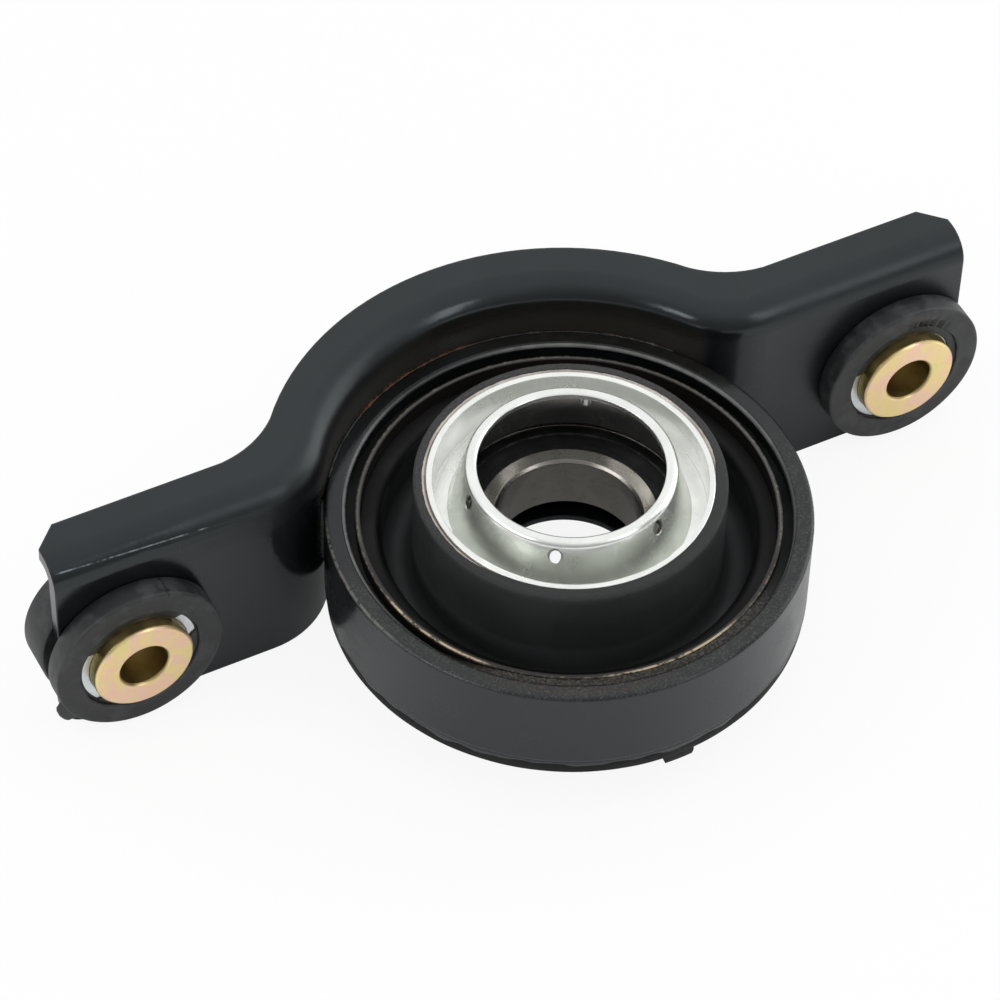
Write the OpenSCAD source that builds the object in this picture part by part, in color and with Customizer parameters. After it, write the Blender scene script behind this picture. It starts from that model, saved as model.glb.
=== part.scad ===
// Driveshaft centre bearing. A stamped strap carries a steel ring, a rubber cushion in the
// ring carries a sealed ball bearing, and two rubber bushings take the mounting bolts.
// Z is the bearing axis with the front up, the arms lie along X, and the arch of the strap
// is on the +Y side. The origin is the middle of the bearing bore. Sizes are millimetres.

/* [Bearing] */
// Bore of the inner race, the size of the shaft
bore_d = 30; // [26:0.5:33]
// Outside diameter of the outer race
bearing_d = 55; // [52:0.5:58]
// Width of both races
bearing_w = 13; // [12:0.5:15]
// Diameter of one ball
ball_d = 7.144; // [6:0.1:7.6]
// Number of balls
ball_count = 11; // [8:1:12]
// Clearance between a ball and its grooves
ball_clearance = 0.02; // [0.01:0.01:0.05]
// Radius of the grooves over the radius of a ball
groove_fit = 1.04; // [1.02:0.01:1.08]
// Distance from the pitch circle to the lands of the races, over the diameter of a ball
land_share = 0.36; // [0.32:0.01:0.4]
// Chamfer at the mouths of the bore and on the outer race
bore_chamfer = 0.6; // [0.3:0.1:1]
// Chamfer on the outer edges of the inner race
land_chamfer = 0.2; // [0.1:0.05:0.3]

/* [Cage and seals] */
// Radial width of the cage
cage_w = 3.2; // [2.6:0.1:3.6]
// Sheet thickness of one cage half
cage_t = 0.7; // [0.5:0.1:0.9]
// Clearance round a ball in its pocket
pocket_gap = 0.12; // [0.05:0.01:0.2]
// Shank diameter of a cage rivet
rivet_d = 1; // [0.8:0.1:1.2]
// Head diameter of a cage rivet
rivet_head_d = 1.7; // [1.4:0.1:2]
// Head height of a cage rivet
rivet_head_h = 0.35; // [0.2:0.05:0.5]
// Thickness of a seal
seal_t = 1; // [0.8:0.1:1.2]
// Depth of a seal below the faces of the races
seal_sink = 0.3; // [0.1:0.1:0.5]
// Depth of the seal seat in the outer race, measured along the radius
seal_grip = 1.4; // [1:0.1:1.8]
// Depth of the ring pressed in the face of a seal
seal_groove = 0.35; // [0.2:0.05:0.5]
// Running gap between a seal lip and the inner race
lip_gap = 0.08; // [0.05:0.01:0.1]

/* [Bearing carrier] */
// Wall of the carrier
carrier_wall = 1.5; // [1.2:0.1:1.8]
// How far the front mouth is wider than the bearing seat, on the radius
mouth_step = 2; // [1.6:0.1:2.3]
// Height of the mouth's step above the front face of the bearing
step_h = 2; // [1.8:0.1:4]
// Depth of the mouth in front of its step
mouth_h = 9.5; // [8:0.5:12]
// Chamfer inside the front edge of the mouth
mouth_chamfer = 0.5; // [0.2:0.1:0.8]
// Length of the carrier behind the rear face of the bearing
tail_l = 6.8; // [5:0.2:8]

/* [Dust shields] */
// Sheet thickness of the shields
shield_t = 1.2; // [1:0.1:1.4]
// Height of the front shield's rim above the mouth of the carrier
shield_proud = 0.2; // [0:0.1:0.6]
// Hole in the front shield
shield_hole_d = 38.6; // [37:0.2:40]
// Radius of the rolled crest round that hole
crest_r = 1.5; // [1.5:0.1:2]
// Height of the crest above the rim
crest_h = 4.4; // [3.6:0.1:6]
// Angle at which the crest's edge ends above the level, in degrees
crest_edge = 45; // [30:1:60]
// Slope of the crest's outer flank, in degrees
flank_slope = 75; // [72:1:80]
// Diameter of a drain hole
drain_d = 2.4; // [1.6:0.1:2.8]
// Number of drain holes
drain_count = 6; // [3:1:8]
// Turn of the first drain hole from +X, in degrees
drain_turn = 54; // [0:1:59]
// Depth of the drain holes below the top of the flank
drain_drop = 1.9; // [1.4:0.1:4]
// Lean of the drain holes from the bearing axis, in degrees
drain_lean = 30; // [20:1:60]
// Radius of the rear shield's shoulder
shoulder_r = 1.8; // [1.5:0.1:2.4]
// Gap between the shaft and the hole in the rear shield
rear_hole_gap = 1.2; // [0.4:0.1:2]

/* [Outer ring and insert sleeve] */
// Outside diameter of the ring
ring_d = 100.6; // [99:0.2:104]
// Wall of the ring
ring_wall = 3.7; // [3:0.1:4.4]
// Length of the ring along the axis
ring_h = 20.4; // [19:0.2:24]
// Height of the ring's front face above the middle of the bearing
ring_front = 8.7; // [8:0.1:10]
// Chamfer on the edges of the ring
ring_chamfer = 0.5; // [0.2:0.1:0.8]
// Wall of the insert sleeve
insert_wall = 1; // [0.8:0.1:1.4]
// Depth of the insert sleeve's front edge below the face of the ring
insert_sink = 1.1; // [0.5:0.1:2]
// Length of the insert sleeve
insert_h = 18; // [16:0.2:18.4]

/* [Rubber cushion] */
// Rubber between the ring and the insert sleeve
bond_t = 2.7; // [2:0.1:3.2]
// Depth of that rubber below the front edge of the insert sleeve
bond_sink = 3.2; // [0.4:0.1:5]
// Rubber over the mouth of the carrier
cup_cover = 1.2; // [0.9:0.1:1.5]
// Depth of the rubber below the front edge of the carrier
cup_sink = 0.4; // [0.2:0.1:1]
// Rubber inside the insert sleeve
lining_t = 4.5; // [4:0.1:5]
// Depth of that rubber below the face of the ring
lining_sink = 4.6; // [3:0.1:6]
// Depth of the middle of the fold's bend below the middle of the bearing
fold_z = 4; // [2:0.2:5]
// Thickness of the lip behind the ring
lip_t = 3.3; // [2.5:0.1:4]
// How far the lip stays inside the outer face of the ring
lip_inset = 0.2; // [0:0.1:0.6]
// Width of the tab under the lip
tab_w = 5.7; // [4:0.1:8]
// Height of the tab
tab_h = 2.3; // [1.5:0.1:3]
// Radial depth of the tab
tab_depth = 4.5; // [3:0.1:6]

/* [Strap bracket] */
// Sheet thickness of the strap
sheet_t = 3; // [2.4:0.1:3.6]
// Width of the strap along the bearing axis
strap_w = 48.2; // [46:0.2:52]
// Height of the strap's front face above the middle of the bearing
strap_front = 20.8; // [19:0.1:22]
// Reach of the front flange, from the ring side of the strap
flange_reach = 12.6; // [10:0.1:15]
// Outer radius of the bend between strap and flange
bend_r = 6; // [4.5:0.1:7]
// Angle over which the arch hugs the ring, in degrees
wrap = 110; // [106:0.2:114]
// Distance of the arms' ends from the bearing axis
arm_end = 105.5; // [100:0.5:112]
// Radius of the strap's ring side where arch and arm meet
gull_face_r = 20; // [18:0.5:23]
// Radius of the flange's edge where arch and arm meet
gull_r = 23; // [15:0.5:26]
// Chamfer on the flange at the ends of the arms
end_chamfer = 5; // [3:0.1:7]
// Radius of the rear corners of the arms
corner_r = 6; // [3:0.5:8]

/* [Mounting bushings] */
// Distance between the two bolts
bolt_spacing = 180; // [176:0.5:186]
// Height of the bolts above the middle of the strap's width
bolt_z = -4.6; // [-6:0.1:-3]
// Hole for the bolt
bolt_hole_d = 10.6; // [8.4:0.1:12.5]
// Outside diameter of the bolt sleeve
sleeve_d = 22; // [20:0.2:23]
// How far the bolt sleeve stands proud of the rubber at each end
sleeve_proud = 2.1; // [1:0.1:4]
// Chamfer on the ends of the bolt sleeve
sleeve_chamfer = 0.5; // [0.2:0.1:1]
// Gap between the bolt sleeve and its liner
liner_gap = 0.05; // [0.02:0.01:0.1]
// Wall of the liner tube
liner_wall = 2.1; // [1.2:0.1:2.2]
// Depth of the liner's ends below the faces of the rubber
liner_sink = 1; // [0.5:0.1:2]
// Outside diameter of the rubber bushing
bushing_d = 36.8; // [34:0.2:40]
// Rubber in front of the strap
bushing_near = 5.3; // [4:0.1:7]
// Rubber behind the strap
bushing_far = 9; // [7:0.1:10]
// Rubber between the liner and the hole in the strap
neck_wall = 1.8; // [1.2:0.1:2.4]
// Radius on the outer edges of the rubber bushing
bushing_edge_r = 1.6; // [0.8:0.1:2.4]
// Diameter of the moulded nub on the rubber bushing
nub_d = 2.6; // [2:0.1:3.4]
// Height of the nub
nub_h = 2.2; // [1.5:0.1:3]
// Turn of the nub on the left bushing from +X, in degrees
left_nub_turn = 216; // [0:1:359]
// Turn of the nub on the right bushing from +X, in degrees
right_nub_turn = 150; // [0:1:359]

/* [Hidden] */
$fn = 96;

// Length by which a cutter runs past what it cuts
past = 1;
// How far the round of the flange's edge runs into the edges that it joins
edge_lap = 0.1;

// Bearing
bore_r = bore_d / 2;
bearing_r = bearing_d / 2;
ball_r = ball_d / 2;
race_top = bearing_w / 2;
pitch_r = (bore_r + bearing_r) / 2;
groove_r = ball_r * groove_fit;
land_drop = ball_d * land_share;
inner_land_r = pitch_r - land_drop;
outer_land_r = pitch_r + land_drop;
inner_groove_x = pitch_r - ball_r - ball_clearance + groove_r;
outer_groove_x = pitch_r + ball_r + ball_clearance - groove_r;
pocket_r = ball_r + pocket_gap;
ball_step = 360 / ball_count;
seal_top = race_top - seal_sink;
seal_floor = seal_top - seal_t;
seal_seat_r = outer_land_r + seal_grip;
seal_groove_r0 = inner_land_r + land_drop / 2;
seal_groove_r1 = outer_land_r - land_drop / 4;

// Carrier and shields
carrier_r = bearing_r + carrier_wall;
mouth_r = bearing_r + mouth_step;
mouth_outer_r = mouth_r + carrier_wall;
step_z = race_top + step_h;
mouth_z = step_z + mouth_h;
tail_z = -race_top - tail_l;
rim_z = mouth_z + shield_proud;
shield_hole_r = shield_hole_d / 2;
crest_x = shield_hole_r + crest_r * cos(crest_edge);
crest_z = rim_z + crest_h - crest_r;
flank_x = crest_x + crest_r * sin(flank_slope);
flank_z = crest_z + crest_r * cos(flank_slope);
foot_x = flank_x + (flank_z - step_z) / tan(flank_slope);
drain_r = flank_x + drain_drop / tan(flank_slope);
rear_hole_r = bore_r + rear_hole_gap;
pan_bend_r = shoulder_r - shield_t;

// Ring, insert sleeve and cushion
ring_r = ring_d / 2;
ring_inner_r = ring_r - ring_wall;
ring_back = ring_front - ring_h;
insert_r = ring_inner_r - bond_t;
insert_inner_r = insert_r - insert_wall;
insert_top = ring_front - insert_sink;
insert_back = insert_top - insert_h;
cup_r = mouth_outer_r + cup_cover;
cup_top = mouth_z - cup_sink;
fold_t = cup_r - carrier_r;
lining_r = insert_inner_r - lining_t;
lining_top = ring_front - lining_sink;
valley_r = (lining_r - cup_r) / 2;
valley_x = (lining_r + cup_r) / 2;
fold_r = valley_r + fold_t;
lip_back = ring_back - lip_t;
crest_round = lining_t / 2;

// Strap
strap_back = strap_front - strap_w;
bolt_height = strap_back + strap_w / 2 + bolt_z;
arch_r = ring_r;
arch_start = 90 - wrap / 2;
gull_x = (arch_r + gull_face_r) * cos(arch_start);
gull_y = (arch_r + gull_face_r) * sin(arch_start);
arm_y = gull_y - gull_face_r;
edge_reach = arch_r + flange_reach + gull_r - edge_lap;
edge_y = arm_y + flange_reach + gull_r - edge_lap;
edge_turn = asin(edge_y / edge_reach);
edge_x = edge_reach * cos(edge_turn);
flange_mid = (bend_r + flange_reach) / 2;

// Bushings
bolt_r = bolt_hole_d / 2;
sleeve_r = sleeve_d / 2;
liner_inner_r = sleeve_r + liner_gap;
liner_r = liner_inner_r + liner_wall;
neck_r = liner_r + neck_wall;
bushing_r = bushing_d / 2;
bushing_back = -sheet_t - bushing_far;

// Rectangle in a half section, from radius r0 to r1 and from height z0 to z1
module band(r0, r1, z0, z1) {
    translate([r0, z0])
        square([r1 - r0, z1 - z0]);
}

// Half section of a tube with its inner and outer edges chamfered
module chamfered_band(r0, r1, z0, z1, inner_c, outer_c) {
    polygon([
        [r0 + inner_c, z0], [r1 - outer_c, z0], [r1, z0 + outer_c], [r1, z1 - outer_c],
        [r1 - outer_c, z1], [r0 + inner_c, z1], [r0, z1 - inner_c], [r0, z0 + inner_c]
    ]);
}

// Half section of a disc on z = 0, with its outer top edge rounded
module rounded_disc(r0, r1, h, edge_r) {
    band(r0, r1 - edge_r, 0, h);
    band(r0, r1, 0, h - edge_r);
    translate([r1 - edge_r, h - edge_r])
        circle(edge_r);
}

// Places its children at every ball, or with a turn at every gap between balls
module at_balls(turn = 0) {
    for (i = [0 : ball_count - 1])
        rotate(i * ball_step + turn)
            translate([pitch_r, 0, 0])
                children();
}

module inner_race() {
    color("#8a8078")
        rotate_extrude()
            difference() {
                chamfered_band(bore_r, inner_land_r, -race_top, race_top, bore_chamfer, land_chamfer);
                translate([inner_groove_x, 0])
                    circle(groove_r);
            }
}

module outer_race() {
    color("#9a9a98")
        rotate_extrude()
            difference() {
                chamfered_band(outer_land_r, bearing_r, -race_top, race_top, 0, bore_chamfer);
                translate([outer_groove_x, 0])
                    circle(groove_r);
                for (side = [-1, 1])
                    scale([1, side])
                        band(outer_land_r - past, seal_seat_r, seal_floor, race_top + past);
            }
}

module balls() {
    color("#c9ccd0")
        at_balls()
            sphere(ball_r);
}

// One pressed half of the ball cage, on the +Z side of its seam
module cage_half() {
    difference() {
        intersection() {
            rotate_extrude()
                band(pitch_r - cage_w / 2, pitch_r + cage_w / 2, 0, race_top);
            union() {
                cylinder(r = pitch_r + cage_w, h = cage_t);
                at_balls()
                    sphere(pocket_r + cage_t);
            }
        }
        at_balls()
            sphere(pocket_r);
        at_balls(ball_step / 2)
            cylinder(d = rivet_d, h = 2 * cage_t + 2 * past, center = true);
    }
}

module front_cage_half() {
    color("#a8a49a")
        cage_half();
}

module rear_cage_half() {
    color("#a8a49a")
        mirror([0, 0, 1])
            cage_half();
}

module cage_rivets() {
    color("#b0aca2")
        at_balls(ball_step / 2) {
            cylinder(d = rivet_d, h = 2 * cage_t, center = true);
            for (side = [0, 1])
                mirror([0, 0, side])
                    translate([0, 0, cage_t])
                        cylinder(d1 = rivet_head_d, d2 = rivet_d, h = rivet_head_h);
        }
}

// One lip seal on the +Z side, with a shallow ring pressed in its face
module seal() {
    rotate_extrude()
        difference() {
            band(inner_land_r + lip_gap, seal_seat_r, seal_floor, seal_top);
            band(seal_groove_r0, seal_groove_r1, seal_top - seal_groove, seal_top + past);
        }
}

module front_seal() {
    color("#1c1c1e")
        seal();
}

module rear_seal() {
    color("#1c1c1e")
        mirror([0, 0, 1])
            seal();
}

module bearing_carrier() {
    color("#7d7266")
        rotate_extrude()
            polygon([
                [bearing_r, tail_z], [bearing_r, step_z], [mouth_r, step_z],
                [mouth_r, mouth_z - mouth_chamfer], [mouth_r + mouth_chamfer, mouth_z],
                [mouth_outer_r, mouth_z], [mouth_outer_r, step_z - carrier_wall],
                [carrier_r, step_z - carrier_wall], [carrier_r, tail_z]
            ]);
}

// Half section of the space inside the flank and crest, moved inwards by inset
module crest_fill(inset) {
    tube_r = crest_r - inset;
    top_x = crest_x + tube_r * sin(flank_slope);
    top_z = crest_z + tube_r * cos(flank_slope);
    base_z = step_z - inset;
    base_x = top_x + (top_z - base_z) / tan(flank_slope);
    polygon([[0, base_z], [base_x, base_z], [top_x, top_z], [crest_x, crest_z], [0, crest_z]]);
    translate([crest_x, crest_z])
        circle(tube_r);
}

// Half section of the front shield: outer wall, floor, flank and crest
module shield_section() {
    band(mouth_r - shield_t, mouth_r, step_z, rim_z);
    band(foot_x - shield_t / 2, mouth_r, step_z, step_z + shield_t);
    difference() {
        crest_fill(0);
        crest_fill(shield_t);
        band(0, shield_hole_r, step_z, crest_z + crest_r);
    }
}

module front_dust_shield() {
    color("#c4cbc6")
        difference() {
            rotate_extrude()
                shield_section();
            for (i = [0 : drain_count - 1])
                rotate(drain_turn + i * 360 / drain_count)
                    translate([drain_r, 0, flank_z - drain_drop])
                        rotate([0, drain_lean, 0])
                            cylinder(d = drain_d, h = 2 * crest_h, center = true);
        }
}

module rear_dust_shield() {
    color("#242426")
        mirror([0, 0, 1])
            rotate_extrude()
                difference() {
                    translate([0, race_top])
                        rounded_disc(rear_hole_r, bearing_r, tail_l, shoulder_r);
                    translate([0, race_top - past])
                        rounded_disc(0, bearing_r - shield_t, tail_l - shield_t + past, pan_bend_r);
                }
}

module insert_sleeve() {
    color("#6b5d45")
        rotate_extrude()
            band(insert_inner_r, insert_r, insert_back, insert_top);
}

module outer_ring() {
    color("#2b2927")
        rotate_extrude()
            chamfered_band(ring_inner_r, ring_r, ring_back, ring_front, 0, ring_chamfer);
}

// Half section of the rubber: cup wall, fold, lining, bond layer and rear lip
module cushion_section() {
    difference() {
        union() {
            band(carrier_r, cup_r, -fold_z, cup_top);
            band(lining_r, insert_inner_r, -fold_z, lining_top - crest_round);
            band(lining_r + crest_round, insert_inner_r, -fold_z, lining_top);
            translate([lining_r + crest_round, lining_top - crest_round])
                circle(crest_round);
            intersection() {
                translate([valley_x, -fold_z])
                    circle(fold_r);
                band(0, ring_r, lip_back, -fold_z);
            }
            band(valley_x + fold_r, insert_inner_r, lip_back, -fold_z);
            band(insert_inner_r, insert_r, lip_back, insert_back);
            band(insert_r, ring_inner_r, lip_back, insert_top - bond_sink);
            band(ring_inner_r, ring_r - lip_inset, lip_back, ring_back);
        }
        translate([valley_x, -fold_z])
            circle(valley_r);
        band(carrier_r - past, mouth_outer_r, step_z - carrier_wall, mouth_z);
    }
}

module rubber_cushion() {
    color("#161617") {
        rotate_extrude()
            cushion_section();
        translate([-tab_w / 2, lip_inset - ring_r, lip_back - tab_h])
            cube([tab_w, tab_depth, tab_h + lip_t / 2]);
    }
}

// Section of the strap: x runs outwards from its ring side, y is the height along the axis
module strap_section() {
    band(0, sheet_t, strap_back, strap_front - bend_r);
    band(bend_r, flange_reach, strap_front - sheet_t, strap_front);
    intersection() {
        translate([bend_r, strap_front - bend_r])
            difference() {
                circle(bend_r);
                circle(bend_r - sheet_t);
            }
        band(0, bend_r, strap_front - bend_r, strap_front);
    }
}

// Shift in a coarse and a fine step, so that the lengths of the strap meet without a gap
module place(shift) {
    coarse = [for (v = shift) round(v * 1000) / 1000];
    translate(coarse)
        translate(shift - coarse)
            children();
}

// Wider flange inside the gull curve, with a round edge between arch and arm
module gull_flange() {
    turn = (180 + arch_start + 270) / 2;
    translate([0, 0, strap_front - sheet_t])
        linear_extrude(sheet_t)
            difference() {
                polygon([
                    (arch_r + flange_mid) * [cos(edge_turn), sin(edge_turn)],
                    [edge_x, edge_y],
                    [edge_x, arm_y + flange_mid],
                    [gull_x, gull_y] + (gull_face_r - flange_mid) * [cos(turn), sin(turn)]
                ]);
                translate([edge_x, edge_y])
                    circle(gull_r);
            }
}

// Half of the strap beyond the arch: the gull curve and the arm, on the +X side
module strap_arm() {
    difference() {
        union() {
            place([gull_x, gull_y, 0])
                rotate_extrude(start = 180 + arch_start, angle = 90 - arch_start)
                    translate([gull_face_r, 0])
                        mirror([1, 0])
                            strap_section();
            place([gull_x, arm_y, 0])
                rotate([90, 0, 90])
                    linear_extrude(arm_end - gull_x + past)
                        strap_section();
            gull_flange();
        }
        translate([bolt_spacing / 2, arm_y - past, bolt_height])
            rotate([-90, 0, 0])
                cylinder(r = neck_r, h = sheet_t + 2 * past);
        translate([arm_end, 0, strap_back - past])
            cube([2 * past, arm_y + flange_reach + past, strap_w + 2 * past]);
        translate([arm_end, arm_y + flange_reach, strap_back])
            rotate(45)
                translate([-end_chamfer / sqrt(2), -2 * end_chamfer, 0])
                    cube([2 * end_chamfer, 4 * end_chamfer, strap_w + past]);
        translate([arm_end - corner_r, arm_y - past, strap_back + corner_r])
            rotate([-90, 0, 0])
                difference() {
                    cube([corner_r + past, corner_r + past, sheet_t + 2 * past]);
                    cylinder(r = corner_r, h = sheet_t + 2 * past);
                }
    }
}

module bracket() {
    color("#1d1d1f") {
        rotate_extrude(start = arch_start, angle = wrap)
            translate([arch_r, 0])
                strap_section();
        for (side = [0, 1])
            mirror([side, 0, 0])
                strap_arm();
    }
}

// Places its children on a bolt axis, with z = 0 on the arm's near face and +z towards the viewer
module at_bolt(side) {
    translate([side * bolt_spacing / 2, arm_y, bolt_height])
        rotate([90, 0, 0])
            children();
}

// Rubber bushing that grips the arm between two discs, with one moulded nub
module bushing(nub_turn) {
    rotate_extrude() {
        rounded_disc(liner_r, bushing_r, bushing_near, bushing_edge_r);
        band(liner_r, neck_r, -sheet_t, 0);
        translate([0, -sheet_t])
            mirror([0, 1])
                rounded_disc(liner_r, bushing_r, bushing_far, bushing_edge_r);
    }
    rotate(nub_turn)
        translate([bushing_r, 0, bushing_near / 2])
            rotate([0, 90, 0]) {
                translate([0, 0, -nub_d])
                    cylinder(d = nub_d, h = nub_d + nub_h - nub_d / 2);
                translate([0, 0, nub_h - nub_d / 2])
                    sphere(d = nub_d);
            }
}

module liner() {
    rotate_extrude()
        band(liner_inner_r, liner_r, bushing_back + liner_sink, bushing_near - liner_sink);
}

module bolt_sleeve() {
    rotate_extrude()
        chamfered_band(bolt_r, sleeve_r, bushing_back - sleeve_proud, bushing_near + sleeve_proud,
            sleeve_chamfer, sleeve_chamfer);
}

module left_bushing() {
    color("#232325")
        at_bolt(-1)
            bushing(left_nub_turn);
}

module left_liner() {
    color("#d3dadd")
        at_bolt(-1)
            liner();
}

module left_bolt_sleeve() {
    color("#c9a04c")
        at_bolt(-1)
            bolt_sleeve();
}

module right_bushing() {
    color("#232325")
        at_bolt(1)
            bushing(right_nub_turn);
}

module right_liner() {
    color("#d3dadd")
        at_bolt(1)
            liner();
}

module right_bolt_sleeve() {
    color("#c9a04c")
        at_bolt(1)
            bolt_sleeve();
}

bracket();
outer_ring();
insert_sleeve();
rubber_cushion();
bearing_carrier();
front_dust_shield();
rear_dust_shield();
outer_race();
inner_race();
balls();
front_cage_half();
rear_cage_half();
cage_rivets();
front_seal();
rear_seal();
left_bushing();
left_liner();
left_bolt_sleeve();
right_bushing();
right_liner();
right_bolt_sleeve();
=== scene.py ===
"""Looks of a driveshaft centre bearing: moulded rubber, weld and seam beads, finishes and stage.

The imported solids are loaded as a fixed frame. The rubber pieces are modelled again over their
solids with the flash and wrinkles of moulded rubber, and every other solid gets a finish.
Lengths are metres, the bearing axis is Z and the arms lie along X.
"""
import math

import bpy
from mathutils import Matrix, Vector


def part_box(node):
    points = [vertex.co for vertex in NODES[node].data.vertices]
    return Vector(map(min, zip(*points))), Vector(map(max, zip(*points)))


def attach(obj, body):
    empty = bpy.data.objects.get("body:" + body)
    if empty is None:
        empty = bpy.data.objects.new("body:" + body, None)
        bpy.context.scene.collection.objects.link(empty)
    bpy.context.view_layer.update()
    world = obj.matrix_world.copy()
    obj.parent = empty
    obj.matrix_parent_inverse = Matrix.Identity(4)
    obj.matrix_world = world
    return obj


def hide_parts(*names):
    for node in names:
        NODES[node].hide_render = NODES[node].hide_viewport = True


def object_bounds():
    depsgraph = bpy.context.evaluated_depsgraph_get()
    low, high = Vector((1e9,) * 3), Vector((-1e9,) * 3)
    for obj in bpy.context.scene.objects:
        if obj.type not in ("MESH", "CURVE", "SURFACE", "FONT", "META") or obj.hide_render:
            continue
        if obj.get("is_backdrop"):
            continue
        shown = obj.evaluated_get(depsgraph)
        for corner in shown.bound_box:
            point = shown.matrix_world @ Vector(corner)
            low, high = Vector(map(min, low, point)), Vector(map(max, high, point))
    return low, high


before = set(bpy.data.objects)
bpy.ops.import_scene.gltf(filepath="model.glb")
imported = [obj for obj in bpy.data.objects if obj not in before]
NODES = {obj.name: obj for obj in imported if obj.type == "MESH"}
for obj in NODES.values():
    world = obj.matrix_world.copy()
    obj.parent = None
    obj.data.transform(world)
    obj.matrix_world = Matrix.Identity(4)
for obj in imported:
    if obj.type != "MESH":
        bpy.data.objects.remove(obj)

bl_info = {
    "name": "Centre Bearing Looks",
    "version": (1, 0, 0),
    "blender": (4, 5, 0),
    "location": "View3D > Sidebar > Bearing",
    "description": "Rubber, beads, finishes and stage for a driveshaft centre bearing",
    "category": "Object",
}

CAD_LOW, CAD_HIGH = (tuple(corner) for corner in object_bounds())
HOUSING = "frame"
MM = 0.001


def middle_of(node):
    """Middle of a node's box."""
    low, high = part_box(node)
    return (low + high) / 2


def half_height(node):
    """Radius of a node that is round about a bolt axis."""
    low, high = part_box(node)
    return (high.z - low.z) / 2


LEFT_BOLT = middle_of("left_bolt_sleeve")
RIGHT_BOLT = middle_of("right_bolt_sleeve")
SLEEVE_R = half_height("left_bolt_sleeve")
LINER_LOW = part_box("left_liner")[0]
LINER_R = half_height("left_liner")
BUSHING_R = half_height("left_bushing")
BUSHING_NEAR, BUSHING_FAR = (LEFT_BOLT.y - corner.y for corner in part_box("left_bushing"))
RING_LOW, RING_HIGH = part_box("outer_ring")
RING_R = RING_HIGH.x
INSERT_LOW, INSERT_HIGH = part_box("insert_sleeve")
RING_IN = INSERT_HIGH.x + 2.7 * MM
SLEEVE_IN = INSERT_HIGH.x - 1.05 * MM
LINING_R = SLEEVE_IN - 4.45 * MM
CARRIER_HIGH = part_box("bearing_carrier")[1]
CUP_R = CARRIER_HIGH.x + 1.2 * MM
CUSHION_LOW, CUSHION_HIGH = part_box("rubber_cushion")
SHIELD_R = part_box("front_dust_shield")[1].x
LIP_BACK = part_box("rear_dust_shield")[0].z - 1.7 * MM
# How far the bushings stay inside the box of their solids
INSIDE = 0.01 * MM
# Sides of the ring, in degrees from X
NEAR_SIDE, RUSTY_SIDE = 262.0, 106.0
ORIGIN = (0.0, 0.0, 0.0)
STILL = Vector(ORIGIN)
UP = Vector((0.0, 0.0, 1.0))


def length_prop(name, default, description):
    """A length in metres."""
    return bpy.props.FloatProperty(
        name=name, description=description, default=default, min=0.0, unit="LENGTH", precision=5
    )


def share_prop(name, default, description):
    """A share from 0 to 1."""
    return bpy.props.FloatProperty(
        name=name, description=description, default=default, min=0.0, max=1.0, subtype="FACTOR"
    )


def angle_prop(name, degrees, description):
    """An angle, written in degrees and kept in radians."""
    return bpy.props.FloatProperty(
        name=name, description=description, default=math.radians(degrees), subtype="ANGLE"
    )


def colour_prop(name, default, description):
    """A plain colour."""
    return bpy.props.FloatVectorProperty(
        name=name, description=description, default=default, size=3, min=0.0, max=1.0, subtype="COLOR"
    )


class BEARING_PG_rubber(bpy.types.PropertyGroup):
    """Sizes and colours of the moulded rubber pieces."""

    edge: length_prop("Edge radius", 0.00055, "Round on the outer edges of the bushings")
    collar: length_prop("Collar", 0.0004, "Height of the raised collar round the liner")
    nub: length_prop("Nub", 0.0022, "How far the moulded nub stands out of the left bushing")
    flash: length_prop("Flash", 0.00035, "Thickness of the rubber skin that creeps over the liner")
    flash_reach: length_prop("Flash reach", 0.0020, "How far that skin covers the end of the liner")
    rim: length_prop("Cup rim", 0.0008, "How far the cup's rim covers the carrier's near side")
    ragged: length_prop("Ragged edge", 0.00028, "How uneven the trimmed rubber edges are")
    wrinkle: length_prop("Wrinkle depth", 0.00042, "Depth of the wrinkles beside the right bolt sleeve")
    groove: length_prop("Groove depth", 0.0032, "Depth of the groove between the ring and the insert sleeve")
    colour: colour_prop("Rubber", (0.0095, 0.010, 0.0105), "Moulded rubber")
    bloom: colour_prop("Bloom", (0.028, 0.029, 0.030), "Grey bloom and dust on the rubber")
    dust: colour_prop("Dust", (0.15, 0.145, 0.14), "Specks of dust on the rubber")
    cut: colour_prop("Cut rubber", (0.062, 0.062, 0.064), "Granular rubber where the cup's rim is trimmed")


class BEARING_PG_beads(bpy.types.PropertyGroup):
    """Sizes of the weld runs, the seam, the ring's inner edge and the paint's edge."""

    weld: length_prop("Weld radius", 0.0008, "Radius of the weld runs between the ring and the strap")
    seam: length_prop("Seam radius", 0.00040, "Radius of the bead where the ring's face meets the strap")
    edge: length_prop("Edge radius", 0.00062, "Radius of the rolled inner edge of the ring")
    drip: length_prop("Paint edge", 0.0010, "How far the paint's edge runs over the rubber lip")
    wrap: angle_prop("Hug", 110.0, "Angle over which the strap hugs the ring")


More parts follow.
